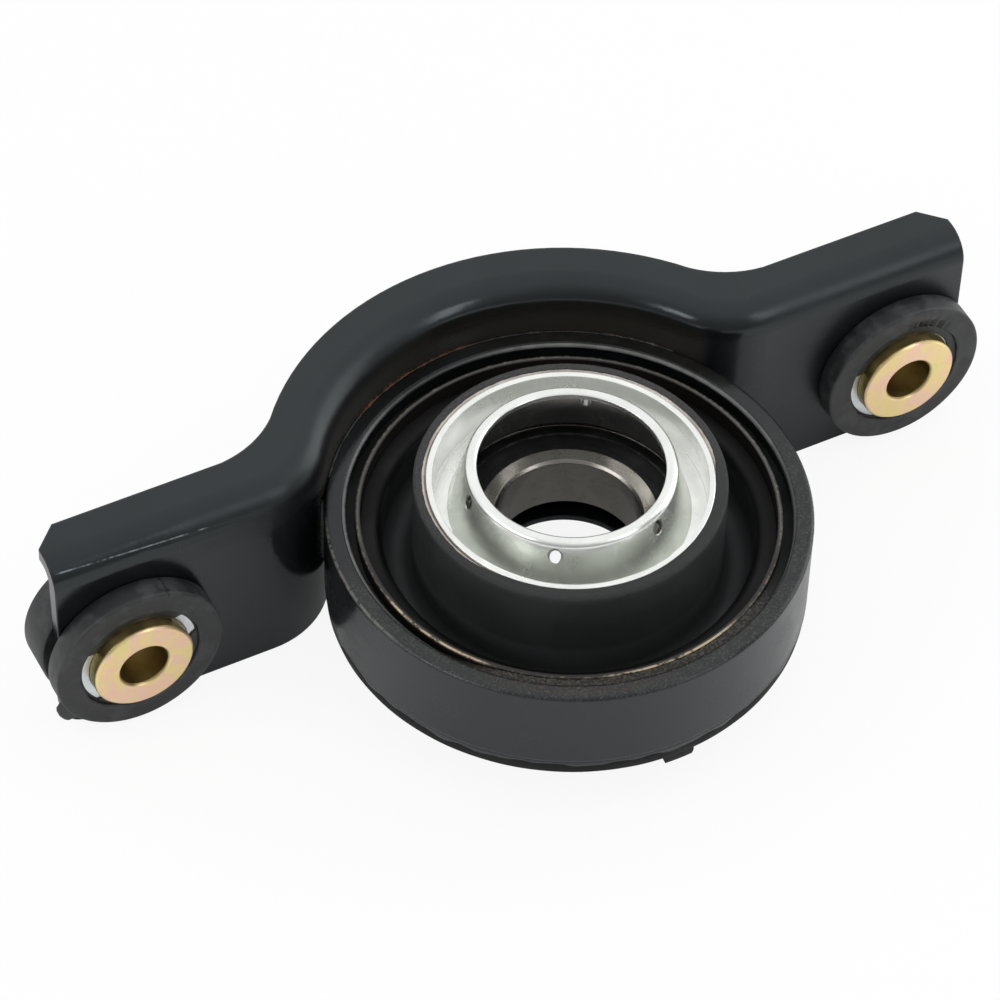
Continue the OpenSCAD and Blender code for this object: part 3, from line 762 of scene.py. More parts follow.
class BEARING_OT_cushion(bpy.types.Operator):
    """Model the rubber cushion: cup with a trimmed rim, fold, lining, rear lip and tab"""

    bl_idname = "bearing.cushion"
    bl_label = "Rubber Cushion"

    def execute(self, context):
        sizes = context.scene.bearing_rubber
        finish = rubber_finish("cushion_rubber", sizes, 0.07, 0.48, 0.24, 1.0, cushion_marks)
        groove = INSERT_HIGH.z - sizes.groove
        piece = lathe("moulded_cushion", self.section(groove), 192)
        self.trim(piece)
        self.squeeze(piece, sizes, groove)
        self.tab(piece)
        finish_piece(piece, finish, 42.0, "rubber_cushion")
        self.cup_rim(sizes, finish)
        return {"FINISHED"}

    def section(self, groove):
        """Half section: seat, cup, fold, lining, bed of the insert sleeve, groove, rear lip and back."""
        mouth = CARRIER_HIGH.x
        seat = mouth - 2.0 * MM
        shoulder = 6.98 * MM
        cup_top = CUSHION_HIGH.z
        sleeve_out = INSERT_HIGH.x
        lining_top = RING_HIGH.z - 4.6 * MM
        fold = -4.0 * MM
        middle, half = (LINING_R + CUP_R) / 2, (LINING_R - CUP_R) / 2
        back = half + CUP_R - seat
        rim = CUSHION_HIGH.x
        cup_edge, lining_edge, lip_front, lip_edge = 0.45 * MM, 2.2 * MM, 0.3 * MM, 0.35 * MM
        profile = [(seat, fold - 1.0 * MM), (seat, shoulder), (mouth, shoulder), (mouth, cup_top - 0.2 * MM)]
        profile += arc((CUP_R - cup_edge, cup_top - cup_edge), cup_edge, 110, 0, 5)
        profile += [(CUP_R, cup_top - 1.5 * MM), (CUP_R + 0.05 * MM, 8.0 * MM), (CUP_R, 0.0)]
        profile += arc((middle, fold), half, 180, 360, 17)
        profile += [(LINING_R, lining_top - 2.6 * MM)]
        profile += arc((LINING_R + lining_edge, lining_top - lining_edge), lining_edge, 180, 90, 8)
        profile += [(SLEEVE_IN, lining_top), (SLEEVE_IN, INSERT_LOW.z), (sleeve_out, INSERT_LOW.z)]
        profile += [(sleeve_out, groove), (RING_IN, groove - 0.3 * MM), (RING_IN, RING_LOW.z)]
        profile += arc((rim - lip_front, RING_LOW.z - lip_front), lip_front, 90, 0, 3)
        profile += arc((rim - lip_edge, LIP_BACK + lip_edge), lip_edge, 0, -90, 4)
        profile += [(middle + back, LIP_BACK), (middle + back, fold - 3.0 * MM)]
        profile += arc((middle, fold), back, -28, -172, 15)
        return profile + profile[:1]

    def trim(self, piece):
        """The lip's edge is a little wavy."""
        waves = ((2, 0.8), (3, 2.0), (5, 0.1), (23, 0.6))

        def shift(place, radius, angle, outwards):
            if radius < CUSHION_HIGH.x - 0.8 * MM or place.z > LIP_BACK + 1.2 * MM:
                return STILL
            return outwards * -0.06 * MM * (1.0 + ripple(angle, waves))

        move_each(piece, shift)

    def squeeze(self, piece, sizes, groove):
        """On the near side the rubber has squeezed up and almost fills the groove."""

        def shift(place, radius, angle, outwards):
            inside = INSERT_HIGH.x - 0.1 * MM < radius < RING_IN + 0.1 * MM
            if not inside or abs(place.z - groove) > 0.5 * MM:
                return STILL
            return UP * (sizes.groove - 0.2 * MM) * window(angle, NEAR_SIDE, 36.0, 26.0)

        move_each(piece, shift)

    def tab(self, piece):
        """Square tab drawn down out of the rear lip on the side away from the arch."""
        rim = CUSHION_HIGH.x

        def on_tab(centre, normal):
            level = normal.z < -0.8 and centre.z < LIP_BACK + 0.3 * MM
            return level and abs(centre.x) < 2.9 * MM and -rim < centre.y < 6.0 * MM - rim

        choose_faces(piece, on_tab)
        for share in (0.5, 0.5):
            drop = (CUSHION_LOW.z - LIP_BACK) * share
            bpy.ops.mesh.extrude_region_move(TRANSFORM_OT_translate={"value": (0, 0, drop)})
        bpy.ops.transform.resize(value=(0.94, 0.94, 1.0))

    def cup_rim(self, sizes, finish):
        """Rim of the cup, trimmed by hand: it hides the carrier's end on the near side only."""
        end = CARRIER_HIGH.z + 0.01 * MM
        top = end + 0.13 * MM
        mouth = CARRIER_HIGH.x + 0.03 * MM
        inner = mouth - 0.70 * MM
        profile = [(inner, end), (inner + 0.06 * MM, top), (mouth + 0.3 * MM, top + 0.02 * MM)]
        profile += [(CUP_R - 0.2 * MM, top - 0.1 * MM), (CUP_R - 0.02 * MM, end - 0.5 * MM)]
        profile += [(mouth, CUSHION_HIGH.z - 0.25 * MM), (mouth, end), (inner, end)]
        piece = lathe("cup_rim", profile, 300)
        fine = ((41, 0.3), (67, 1.7), (97, 0.9), (131, 2.5))
        slow = ((5, 0.3), (11, 1.7), (17, 0.9))

        def shift(place, radius, angle, outwards):
            if radius < inner + 0.2 * MM:
                cover = window(angle, 275.0, 58.0, 16.0) * sizes.rim
                return outwards * (sizes.ragged * 0.6 * ripple(angle, fine + slow) - cover)
            if radius > mouth + 0.5 * MM:
                rough = 0.25 + window(angle, 280.0, 22.0, 20.0)
                return UP * sizes.ragged * rough * (ripple(angle, fine) - 0.4)
            return STILL

        move_each(piece, shift)
        finish_piece(piece, finish)


class BEARING_OT_beads(bpy.types.Operator):
    """Model the rusty seam, the ring's rolled inner edge, the weld runs and the uneven edge of the paint"""

    bl_idname = "bearing.beads"
    bl_label = "Weld and Seam Beads"

    def execute(self, context):
        sizes = context.scene.bearing_beads
        colours = context.scene.bearing_finish
        self.seam(sizes, seam_finish(colours))
        self.inner_edge(sizes, highlight_edge_finish(colours))
        weld = weld_finish(colours)
        for name, turn in (("right_weld", 30.0), ("left_weld", 150.0)):
            self.weld(name, sizes, math.radians(turn), weld)
        self.paint_edge(sizes, paint_finish("paint_edge", colours, 0.22, 0.34))
        return {"FINISHED"}

    def seam(self, sizes, finish):
        """A thin uneven bead along the corner between the ring's face and the strap, short of its bends."""
        core = RING_R - 0.22 * MM
        level = RING_HIGH.z - 0.25 * MM
        short = 0.02
        sweep = sizes.wrap - 2 * short
        section = arc((core, level), sizes.seam, 0, 360, 9)
        piece = lathe("ring_seam", section, 200, sweep, (math.pi - sweep) / 2)
        waves = ((37, 0.2), (61, 1.4), (97, 0.6))

        def shift(place, radius, angle, outwards):
            return (place - outwards * core - UP * level) * (0.5 * ripple(angle, waves) - 0.1)

        move_each(piece, shift)
        self.close_ends()
        finish_piece(piece, finish)

    def inner_edge(self, sizes, finish):
        """The ring's inner edge is rolled round, but pressed flat on the near side."""
        core = RING_IN - 0.1 * MM
        level = RING_HIGH.z - sizes.edge
        piece = lathe("ring_inner_edge", arc((core, level), sizes.edge, 0, 360, 17), 192)

        def shift(place, radius, angle, outwards):
            return (outwards * core + UP * level - place) * 0.7 * window(angle, NEAR_SIDE, 40.0, 30.0)

        move_each(piece, shift)
        finish_piece(piece, finish)

    def weld(self, name, sizes, turn, finish):
        """A short lumpy weld run down the notch between the ring and the strap."""
        length = 18.0 * MM
        rounds = 30
        piece = start_piece(
            name, bpy.ops.mesh.primitive_cylinder_add, vertices=20, radius=sizes.weld, depth=length
        )
        for cut in range(1, rounds):
            bpy.ops.mesh.select_all(action="SELECT")
            bpy.ops.mesh.bisect(plane_co=(0, 0, (cut - rounds / 2) * length / rounds), plane_no=(0, 0, 1))

        def shift(place, radius, angle, outwards):
            share = max(0.02, 1.0 - (2.0 * abs(place.z) / length) ** 6) ** 0.5
            lump = 0.85 + 0.12 * math.sin(place.z / MM * 3.4) + 0.08 * math.sin(place.z / MM * 8.3 + 1.0)
            return outwards * radius * (share * lump - 1.0)

        move_each(piece, shift)
        centre = Vector((math.cos(turn), math.sin(turn), 0.0)) * (RING_R + 0.40 * MM)
        bpy.ops.mesh.select_all(action="SELECT")
        bpy.ops.transform.translate(value=(centre.x, centre.y, (RING_LOW.z + RING_HIGH.z) / 2))
        finish_piece(piece, finish)

    def paint_edge(self, sizes, finish):
        """The ring's paint ends in an uneven edge over the rear rubber lip."""
        level = RING_LOW.z
        outer = RING_R - 0.02 * MM
        profile = [(outer - 0.5 * MM, level + 0.35 * MM), (outer, level + 0.55 * MM)]
        profile += [(outer, level - 0.1 * MM), (outer - 0.08 * MM, level - 0.35 * MM)]
        profile += [(outer - 0.3 * MM, level - 0.3 * MM), profile[0]]
        piece = lathe("paint_edge", profile, 240)
        waves = ((7, 0.4), (13, 2.2), (19, 1.1), (31, 0.3), (47, 2.9))

        def shift(place, radius, angle, outwards):
            if place.z > level:
                return STILL
            return UP * -sizes.drip * max(0.0, 0.35 + ripple(angle, waves))

        move_each(piece, shift)
        finish_piece(piece, finish)

    def close_ends(self):
        """Fill the open ends of the bead in hand."""
        bpy.ops.mesh.select_mode(type="EDGE")
        bpy.ops.mesh.select_all(action="DESELECT")
        bpy.ops.mesh.select_non_manifold(extend=False)
        bpy.ops.mesh.fill()
        bpy.ops.mesh.select_all(action="SELECT")
        bpy.ops.mesh.normals_make_consistent(inside=False)


def paint_finish(name, colours, smooth, rough, marks=None):
    """Gloss black paint with orange peel, dust, cloudy gloss and pale edges."""
    finish = Finish(name, Specular_IOR_Level=0.5, Specular_Tint=(0.86, 0.96, 1.0, 1.0))
    graph = finish.graph
    grain = finish.grain(0.05, 0.55)
    dust = graph.calc("MAXIMUM", finish.specks(0.28, 0.045, 0.70), finish.specks(1.0, 0.07, 0.90))
    shade = graph.lay(colours.paint, toned(colours.paint, 1.8), grain["Cloud"], 0.7)
    shade = graph.lay(shade, colours.scuff, finish.wear(0.0006, 0.28), 0.6)
    shade = graph.lay(shade, colours.paint_dust, dust, 0.45)
    height = graph.calc("ADD", grain["Fine"], graph.product(dust, 0.4))
    gloss = graph.spread(grain["Cloud"], smooth, rough)
    if marks:
        shade, height, gloss = marks(finish, colours, shade, height, gloss)
    finish.colour(shade)
    finish.roughness(graph.calc("ADD", gloss, graph.product(dust, 0.2)))
    finish.bump(height, 0.14, 0.00020, 0.0006)
    return finish


def strap_marks(finish, colours, shade, height, gloss):
    """Brown arch with rust along the ring, a scratch on the left arm with painted shade in the crease below
    it, a dull left bend and right arm.
    """
    graph, along = finish.graph, finish.place["Across"]
    ring, face = RING_R / MM, RING_HIGH.z / MM
    brown, crease_shade = (0.040, 0.036, 0.028), (0.001, 0.001, 0.001)
    inside = graph.product(finish.fade("Radius", ring + 1.9, ring + 0.5), finish.fade("Height", 19.0, 12.0))
    shade = graph.lay(shade, brown, inside, 0.6)
    rusty = graph.product(
        finish.near("Height", face + 0.2, 0.1, 0.7), finish.fade("Radius", ring + 0.9, ring + 0.5),
        finish.turn(RUSTY_SIDE, 13.0, 8.0), finish.patches(0.9, 0.48, 0.62)
    )
    shade = graph.lay(shade, colours.rust, rusty, 0.5)
    line = graph.calc("ADD", graph.product(along, -0.0428), 14.45)
    off = graph.calc("SUBTRACT", finish.place["Height"], line)
    front = finish.fade("Depth", 23.4, 23.0)
    broken = finish.patches(0.35, 0.40, 0.60)
    pale = graph.product(graph.near(off, 0.0, 0.03, 0.16), graph.near(along, -88.0, 15.0, 2.0), front, broken)
    # painted shade: near black laid along the crease where the left arm's bend meets the web, with a shallow
    # bump
    dark = graph.product(graph.near(off, -0.5, 0.15, 0.30), graph.near(along, -72.0, 9.0, 4.0), front)
    shade = graph.lay(shade, colours.scratch, pale, 0.45)
    shade = graph.lay(shade, crease_shade, dark)
    height = graph.calc("SUBTRACT", height, graph.product(graph.calc("MAXIMUM", pale, dark), 1.5))
    bend = graph.product(graph.near(along, -42.0, 28.0, 14.0), finish.fade("Height", 8.0, 13.0))
    dull = graph.calc("MAXIMUM", bend, graph.span(along, 48.0, 64.0))
    return shade, height, graph.calc("ADD", gloss, graph.product(dull, 0.18))


def ring_finish(colours):
    """Black paint on the ring's side, worn brown on its face, with a butt seam and light rust."""
    finish = Finish("ring_paint", Specular_IOR_Level=0.5, Specular_Tint=(0.88, 0.96, 1.0, 1.0))
    graph, place = finish.graph, finish.place
    outer, top = RING_R / MM, RING_HIGH.z / MM
    run_brown, grit_brown, rub_brown = (0.085, 0.075, 0.050), (0.075, 0.068, 0.058), (0.060, 0.052, 0.044)
    painted_shade_black, joint, bare = (0.002, 0.002, 0.002), (0.001, 0.001, 0.001), (0.20, 0.19, 0.17)
    grain = finish.grain(0.09, 1.3)
    lines = finish.scratches((0.10, 26.0, 0.9), 0.63, place["Round"])
    streaks = finish.scratches((0.10, 90.0, 0.16), 0.56, place["Round"])
    face = finish.fade("Height", top - 0.9, top - 0.15)
    side = graph.lay(colours.paint, toned(colours.paint, 2.2), grain["Cloud"], 0.6)
    side = graph.lay(side, colours.scuff, lines, 0.12)
    side = graph.lay(side, run_brown, graph.product(streaks, finish.turn(164.0, 7.0, 7.0)), 0.7)
    worn = graph.lay(colours.face, toned(colours.face, 2.2), finish.patches(0.30, 0.44, 0.66), 0.5)
    spots = graph.product(
        finish.turn(-115.0, 16.0, 10.0), finish.near("Radius", outer - 2.6, 0.7, 0.8),
        finish.patches(1.5, 0.52, 0.64)
    )
    worn = graph.lay(worn, toned(colours.rust, 0.6), spots, 0.55)
    grit = graph.product(finish.patches(1.8, 0.50, 0.66), finish.turn(260.0, 84.0, 24.0))
    worn = graph.lay(worn, grit_brown, grit, 0.55)
    # painted shade: on the far side, at the top left, the face is laid near black and made a little glossier
    far = graph.product(finish.turn(132.0, 36.0, 16.0), face)
    worn = graph.lay(worn, painted_shade_black, far, 0.8)
    shade = graph.mix(face, side, worn)
    butt = graph.product(finish.near("Angle", 153.5, 0.20, 0.35), face)
    shade = graph.lay(shade, joint, butt)
    bright = graph.product(
        finish.turn(178.0, 13.0, 12.0), finish.near("Radius", outer - 0.4, 0.15, 0.20), face,
        finish.patches(0.7, 0.38, 0.52)
    )
    shade = graph.lay(shade, bare, bright, 0.6)
    shade = graph.lay(shade, rub_brown, finish.wear(0.0006, 0.35), 0.25)
    finish.colour(graph.lay(shade, colours.paint_dust, finish.specks(0.40, 0.06, 0.74), 0.4))
    gritty = graph.product(grit, face)
    rough = graph.calc("SUBTRACT", graph.spread(grain["Cloud"], 0.18, 0.28), graph.product(far, 0.06))
    finish.roughness(graph.calc("ADD", rough, graph.product(gritty, 0.25)))
    cuts = graph.calc("ADD", graph.product(lines, 0.5), graph.product(butt, 2.0))
    height = graph.calc("SUBTRACT", grain["Fine"], cuts)
    height = graph.calc("ADD", height, graph.product(gritty, 1.5))
    finish.bump(height, 0.14, 0.00016, 0.0009)
    return finish


def seam_finish(colours):
    """Rusty seam: strong on the left of the arch, faint and dusty towards the right."""
    finish = Finish("rusty_seam", Specular_IOR_Level=0.4)
    graph = finish.graph
    fine = finish.noise(3.0, 4.0, 0.6)
    strong = graph.product(finish.turn(RUSTY_SIDE, 14.0, 10.0), finish.patches(0.8, 0.42, 0.60))
    faint = graph.product(finish.turn(65.0, 34.0, 8.0), finish.patches(0.8, 0.52, 0.62), 0.35)
    pale = graph.product(finish.turn(42.0, 13.0, 6.0), finish.patches(1.3, 0.56, 0.62))
    rust = graph.mix(fine, colours.rust, toned(colours.rust, 0.45))
    shade = graph.lay(colours.paint, rust, graph.calc("MAXIMUM", strong, faint))
    finish.colour(graph.lay(shade, colours.paint_dust, pale, 0.6))
    finish.roughness(graph.spread(strong, 0.42, 0.85))
    finish.bump(fine, 0.5, 0.0002)
    return finish


def highlight_edge_finish(colours):
    """Rolled edge of the ring: black paint with a painted highlight in grey at both sides, less at the back.
    """
    finish = Finish("painted_highlight_edge", Specular_IOR_Level=0.5)
    graph = finish.graph
    top = RING_HIGH.z / MM
    grey = (0.150, 0.150, 0.148)
    grain = finish.grain(0.30, 1.6)
    sides = graph.calc("MAXIMUM", finish.turn(38.0, 26.0, 34.0), finish.turn(150.0, 16.0, 30.0))
    kept = graph.calc("SUBTRACT", 1.0, finish.turn(NEAR_SIDE, 40.0, 40.0))
    # painted highlight: grey laid on the paint of the rolled edge, strongest at the two sides and none on the
    # near side
    rubbed = graph.product(
        graph.spread(sides, 0.22, 1.0), finish.fade("Height", top - 0.75, top - 0.35),
        graph.spread(grain["Cloud"], 0.7, 1.0), kept
    )
    finish.colour(graph.lay(colours.paint, grey, rubbed))
    finish.roughness(graph.spread(grain["Cloud"], 0.26, 0.40))
    finish.bump(grain["Fine"], 0.2, 0.0001)
    return finish


def weld_finish(colours):
    """Weld run under thin paint, brown where the paint is missing."""
    finish = Finish("weld_run", Specular_IOR_Level=0.5)
    graph = finish.graph
    fine = finish.noise(2.0, 4.0, 0.6)
    finish.colour(graph.lay(colours.paint, colours.dull, finish.patches(0.5, 0.46, 0.62), 0.7))
    finish.roughness(graph.span(fine, 0.3, 0.7, 0.22, 0.45))
    finish.bump(fine, 0.4, 0.0002)
    return finish


def metal_finish(name, colour, low, high, stretch, tint, around=True):
    """Metal with fine lines, round the bearing axis or not, smudges and rubbed edges."""
    finish = Finish(name, Metallic=1.0)
    graph = finish.graph
    grain = finish.grain(0.16, 2.0)
    lines = finish.scratches(stretch, 0.52, finish.place["Round"] if around else finish.point)
    dull = toned(colour, tint)
    shade = graph.lay(colour, dull, grain["Cloud"], 0.5)
    shade = graph.lay(shade, dull, lines, 0.35)
    bright = tuple(min(1.0, part) for part in toned(colour, 1.25))
    finish.colour(graph.lay(shade, bright, finish.wear(0.0004, 0.5), 0.5))
    gloss = graph.spread(grain["Cloud"], low, high)
    finish.roughness(graph.calc("ADD", gloss, graph.product(lines, 0.08)))
    finish.bump(graph.calc("ADD", lines, grain["Fine"]), 0.08, 0.00005, 0.00025)
    return finish


def shield_finish(colours):
    """Bright zinc with soft clouds, fine pressing lines, small stains, scratches and painted shade round the
    drain holes.
    """
    finish = Finish("bright_zinc")
    graph, place = finish.graph, finish.place
    pressed, nick = (0.82, 0.83, 0.79), (0.48, 0.50, 0.47)
    rim, stain = (0.22, 0.225, 0.21), (0.40, 0.41, 0.38)
    drain_turn, drain_r, drain_level, rim_r = 54.0, 22.3, 19.6, 1.30
    grain = finish.grain(0.12, 4.0)
    lines = finish.scratches((9.0, 1.4, 9.0), 0.55, place["Round"])
    stains = finish.specks(0.45, 0.14, 0.84)
    shade = graph.lay(colours.zinc, toned(colours.zinc, 0.86), grain["Cloud"], 0.6)
    shade = graph.lay(shade, pressed, lines, 0.22)
    shade = graph.lay(shade, nick, finish.scratches((0.9, 0.35, 2.6), 0.66), 0.05)
    # painted shade: a dark ring laid round each drain hole where the dimpled rim falls into shade
    turn = graph.calc("PINGPONG", graph.calc("SUBTRACT", place["Angle"], drain_turn), 30.0)
    round_way = graph.product(turn, math.radians(drain_r))
    slope = graph.hypot(
        graph.calc("SUBTRACT", place["Radius"], drain_r), graph.calc("SUBTRACT", place["Height"], drain_level)
    )
    shade = graph.lay(shade, rim, graph.near(graph.hypot(round_way, slope), rim_r, 0.15, 0.25), 0.65)
    finish.colour(graph.lay(shade, stain, stains, 0.07))
    wall = SHIELD_R / MM
    far_wall = graph.product(finish.turn(85.0, 50.0, 30.0), finish.fade("Radius", wall - 3.0, wall - 1.5))
    finish.metallic(graph.spread(far_wall, 1.0, 0.62))
    gloss = graph.spread(grain["Cloud"], 0.19, 0.28)
    finish.roughness(graph.calc("ADD", gloss, graph.product(stains, 0.08)))
    finish.bump(graph.calc("ADD", grain["Fine"], lines), 0.07, 0.00005, 0.00035)
    return finish


def gold_finish(colours):
    """Yellow passivated zinc: gold and pink on the ends; in the bore and on the side its olive tint, laid
    dark as painted shade.
    """
    finish = Finish("yellow_zinc", Metallic=1.0)
    graph = finish.graph
    sleeve_r = SLEEVE_R / MM
    nick, worn = (0.46, 0.34, 0.14), (0.93, 0.80, 0.44)
    grain = finish.grain(0.22, 3.0)
    pink = graph.span(finish.noise(0.16, 4.0, 0.65), 0.44, 0.58)
    green = graph.span(finish.noise(0.19, 3.0, 0.6), 0.54, 0.70)
    shade = graph.lay(colours.gold, colours.pink, pink, 0.75)
    shade = graph.lay(shade, colours.green, green, 0.55)
    shade = graph.lay(shade, nick, finish.scratches((1.6, 3.0, 0.7), 0.62), 0.35)
    # olive tint of the zinc in the bore and on the side, laid dark and almost whole as painted shade
    bore = finish.fade("Bolt", 5.75, 5.35)
    side = finish.fade("Bolt", sleeve_r - 0.25, sleeve_r - 0.05)
    olive_and_shade = graph.mix(finish.noise(0.5, 4.0, 0.6), colours.olive, toned(colours.olive, 2.0))
    shade = graph.lay(shade, olive_and_shade, graph.calc("MAXIMUM", bore, side), 0.9)
    finish.colour(graph.lay(shade, worn, finish.wear(0.0005, 0.5), 0.45))
    finish.roughness(graph.spread(grain["Cloud"], 0.34, 0.48))
    finish.bump(grain["Fine"], 0.10, 0.00006, 0.0003)
    return finish


def insert_finish(colours):
    """Brown steel under rubber smears, with a thin golden line along its outer edge."""
    finish = Finish("bare_edge")
    graph = finish.graph
    outer, top = INSERT_HIGH.x / MM, INSERT_HIGH.z / MM
    grey = (0.10, 0.10, 0.098)
    spots = finish.patches(0.9, 0.48, 0.66)
    edge = graph.product(
        finish.fade("Height", top - 0.6, top - 0.2), finish.near("Radius", outer - 0.15, 0.20, 0.25)
    )
    stretches = graph.calc("MAXIMUM", finish.turn(-157.0, 14.0, 6.0), finish.turn(-88.0, 14.0, 10.0))
    stretches = graph.product(stretches, finish.patches(0.45, 0.38, 0.56))
    gold = graph.product(edge, graph.calc("MAXIMUM", stretches, graph.product(spots, 0.25)))
    steel = graph.lay(colours.dull, toned(colours.dull, 0.4), spots, 0.5)
    thin = graph.product(
        finish.fade("Height", top - 0.5, top - 0.2), finish.near("Radius", outer - 0.5, 0.10, 0.20),
        finish.turn(65.0, 90.0, 20.0)
    )
    steel = graph.lay(steel, grey, thin, 0.8)
    finish.colour(graph.mix(gold, steel, colours.bare))
    finish.metallic(graph.product(gold, 0.9))
    finish.roughness(graph.spread(spots, 0.40, 0.62))
    finish.bump(spots, 0.2, 0.0001, 0.0003)
    return finish


class BEARING_OT_painted(bpy.types.Operator):
    """Finish the painted steel: strap, ring and rear dust shield"""

    bl_idname = "bearing.painted"
    bl_label = "Painted Steel"

    def execute(self, context):
        colours = context.scene.bearing_finish
        dress(paint_finish("gloss_paint", colours, 0.15, 0.22, strap_marks), "bracket")
        dress(ring_finish(colours), "outer_ring")
        dress(paint_finish("dark_coating", colours, 0.40, 0.54), "rear_dust_shield")
        return {"FINISHED"}


class BEARING_OT_plated(bpy.types.Operator):
    """Finish the plated and bare steel: front dust shield, insert sleeve, carrier, liners and sleeves"""

    bl_idname = "bearing.plated"
    bl_label = "Plated Steel"

    def execute(self, context):
        colours = context.scene.bearing_finish
        turned = metal_finish("turned_edge", colours.carrier, 0.24, 0.42, (14.0, 30.0, 14.0), 0.35)
        white = metal_finish("white_zinc", colours.white_zinc, 0.36, 0.50, (1.2, 4.0, 1.2), 0.82, False)
        dress(shield_finish(colours), "front_dust_shield")
        dress(insert_finish(colours), "insert_sleeve")
        dress(turned, "bearing_carrier")
        dress(white, "left_liner", "right_liner")
        dress(gold_finish(colours), "left_bolt_sleeve", "right_bolt_sleeve")
        return {"FINISHED"}


class BEARING_OT_ball_bearing(bpy.types.Operator):
    """Finish the ball bearing: races, balls, cage halves, rivets and seals"""

    bl_idname = "bearing.ball_bearing"
    bl_label = "Ball Bearing"

    def execute(self, context):
        colours = context.scene.bearing_finish
        bright, pressed = toned(colours.steel, 1.6), toned(colours.steel, 1.3)
        ground = metal_finish("ground_steel", colours.steel, 0.20, 0.30, (16.0, 1.2, 16.0), 0.72)
        balls = metal_finish("polished_balls", bright, 0.08, 0.16, (2.0, 2.0, 2.0), 0.85, around=False)
        cage = metal_finish("pressed_cage", pressed, 0.34, 0.48, (3.0, 3.0, 3.0), 0.7, around=False)
        seal = rubber_finish("seal_rubber", context.scene.bearing_rubber, 0.2, 0.46, 0.22, 0.45)
        dress(ground, "inner_race", "outer_race")
        dress(balls, "balls")
        dress(cage, "front_cage_half", "rear_cage_half", "cage_rivets")
        dress(seal, "front_seal", "rear_seal")
        return {"FINISHED"}


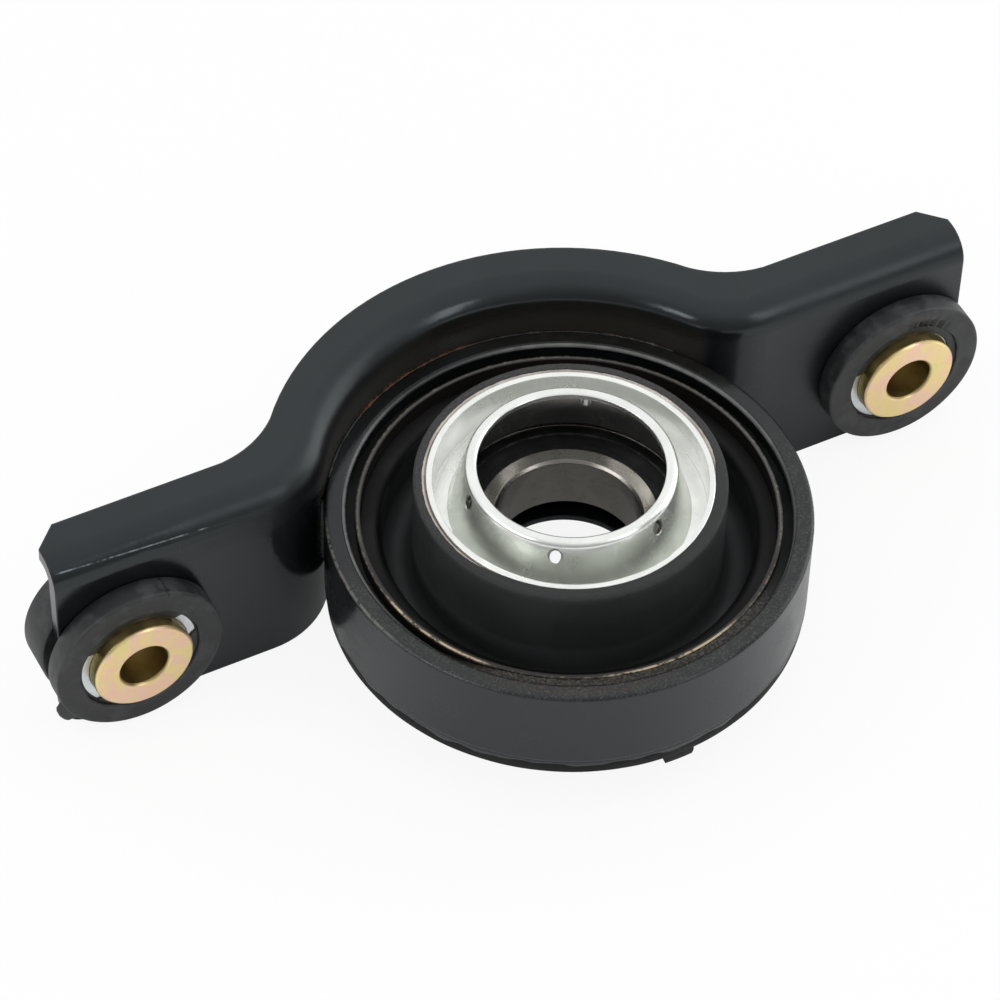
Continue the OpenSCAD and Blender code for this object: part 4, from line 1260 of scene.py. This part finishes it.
class BEARING_OT_stage(bpy.types.Operator):
    """Set the camera, lamps, floor and surroundings"""

    bl_idname = "bearing.stage"
    bl_label = "Stage"

    def execute(self, context):
        stage = context.scene.bearing_stage
        self.camera(context, stage)
        self.floor(stage)
        self.surroundings(context, stage)
        lamps = (
            ("left_panel", (-0.98, -0.02, 0.64), (0.9, 0.24), 3.2),
            ("front_panel", (0.50, -0.92, 0.75), (0.30, 0.62), 1.7),
            ("right_panel", (1.05, -0.08, 0.42), (0.72, 0.90), 3.7),
        )
        aim = Vector((0.0, 0.01, 0.0))
        for name, place, size, power in lamps:
            self.lamp(name, Vector(place), aim, size, power)
        context.scene.view_settings.view_transform = "Standard"
        return {"FINISHED"}

    def camera(self, context, stage):
        """Camera on the photograph's line of sight, for a square frame."""
        deselect()
        bpy.ops.object.camera_add()
        camera = context.object
        camera.name = "camera"
        cos_e, sin_e = math.cos(stage.elevation), math.sin(stage.elevation)
        back = Vector((math.sin(stage.azimuth) * cos_e, -math.cos(stage.azimuth) * cos_e, sin_e))
        right = Vector((math.cos(stage.azimuth), math.sin(stage.azimuth), 0.0))
        up = back.cross(right)
        cos_r, sin_r = math.cos(stage.roll), math.sin(stage.roll)
        columns = (cos_r * right + sin_r * up, cos_r * up - sin_r * right, back)
        turn = Matrix(columns).transposed().to_4x4()
        camera.matrix_world = Matrix.Translation(stage.place) @ turn
        camera.data.sensor_width = 36.0
        camera.data.lens = stage.lens
        camera.data.clip_start = 0.05
        camera.data.clip_end = 20.0
        context.scene.camera = camera

    def lamp(self, name, place, aim, size, power):
        """One soft panel that faces the part."""
        deselect()
        bpy.ops.object.light_add(type="AREA", location=place)
        lamp = bpy.context.object
        lamp.name = name
        lamp.data.shape = "RECTANGLE"
        lamp.data.size, lamp.data.size_y = size
        lamp.data.energy = power
        lamp.rotation_euler = (aim - place).to_track_quat("-Z", "Y").to_euler()

    def floor(self, stage):
        """Pale floor just under the part, white to the camera, with a faint shadow."""
        deselect()
        bpy.ops.mesh.primitive_plane_add(size=8.0, location=(0, 0, CAD_LOW[2] - 0.05 * MM))
        floor = bpy.context.object
        floor.name = "floor"
        material = bpy.data.materials.new("pale_floor")
        material.use_nodes = True
        material.node_tree.nodes.clear()
        graph = Graph(material.node_tree)
        plain = graph.add("ShaderNodeBsdfDiffuse")
        graph.put(plain.inputs["Color"], stage.floor)
        white = graph.add("ShaderNodeEmission")
        path = graph.add("ShaderNodeLightPath")
        seen = graph.calc("MAXIMUM", path.outputs["Is Camera Ray"], path.outputs["Is Transmission Ray"])
        seen = graph.calc("MAXIMUM", seen, graph.product(path.outputs["Is Glossy Ray"], stage.mirror))
        blend = graph.add("ShaderNodeMixShader")
        graph.put(blend.inputs[0], graph.product(seen, 1.0 - stage.shadow))
        graph.put(blend.inputs[1], plain.outputs[0])
        graph.put(blend.inputs[2], white.outputs[0])
        output = graph.add("ShaderNodeOutputMaterial")
        graph.put(output.inputs["Surface"], blend.outputs[0])
        floor.data.materials.append(material)
        floor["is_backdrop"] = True

    def surroundings(self, context, stage):
        """Soft light, strongest from the back and above, with one dark gap; white to the camera."""
        world = bpy.data.worlds.new("surroundings")
        world.use_nodes = True
        world.node_tree.nodes.clear()
        graph = Graph(world.node_tree)
        aim = graph.add("ShaderNodeTexCoord").outputs["Generated"]
        level = graph.span(self.facing(graph, aim, (0.42, 0.55, 0.72)), -0.5, 0.7, stage.front, stage.ambient)
        gap = graph.span(self.facing(graph, aim, (0.85, -0.40, 0.34)), 0.84, 0.96, 1.0, 1.0 - stage.gap)
        seen = graph.add("ShaderNodeLightPath").outputs["Is Camera Ray"]
        level = graph.calc("MAXIMUM", seen, graph.product(level, gap))
        light = graph.add("ShaderNodeBackground")
        graph.put(light.inputs["Strength"], level)
        graph.put(light.inputs["Color"], (1.0, 1.0, 1.0))
        output = graph.add("ShaderNodeOutputWorld")
        graph.put(output.inputs["Surface"], light.outputs[0])
        context.scene.world = world

    def facing(self, graph, aim, direction):
        """How far a line of sight points in that direction, from -1 to 1."""
        node = graph.add("ShaderNodeVectorMath", operation="DOT_PRODUCT")
        graph.put(node.inputs[0], aim)
        graph.put(node.inputs[1], Vector(direction).normalized())
        return node.outputs["Value"]


STEPS = (
    BEARING_OT_stage,
    BEARING_OT_bushings,
    BEARING_OT_cushion,
    BEARING_OT_beads,
    BEARING_OT_painted,
    BEARING_OT_plated,
    BEARING_OT_ball_bearing,
)


class BEARING_PT_looks(bpy.types.Panel):
    """Steps and settings of the centre bearing's looks"""

    bl_idname = "BEARING_PT_looks"
    bl_label = "Centre Bearing"
    bl_space_type = "VIEW_3D"
    bl_region_type = "UI"
    bl_category = "Bearing"

    def draw(self, context):
        for step in STEPS:
            self.layout.operator(step.bl_idname)
        for name, group in SETTINGS.items():
            box = self.layout.box()
            for prop in group.__annotations__:
                box.prop(getattr(context.scene, name), prop)


CLASSES = (*SETTINGS.values(), *STEPS, BEARING_PT_looks)


def register():
    for made in CLASSES:
        bpy.utils.register_class(made)
    for name, group in SETTINGS.items():
        setattr(bpy.types.Scene, name, bpy.props.PointerProperty(type=group))


def unregister():
    for name in SETTINGS:
        delattr(bpy.types.Scene, name)
    for made in reversed(CLASSES):
        bpy.utils.unregister_class(made)


def main():
    register()
    for step in STEPS:
        kind, action = step.bl_idname.split(".")
        getattr(getattr(bpy.ops, kind), action)()


if __name__ == "__main__":
    main()
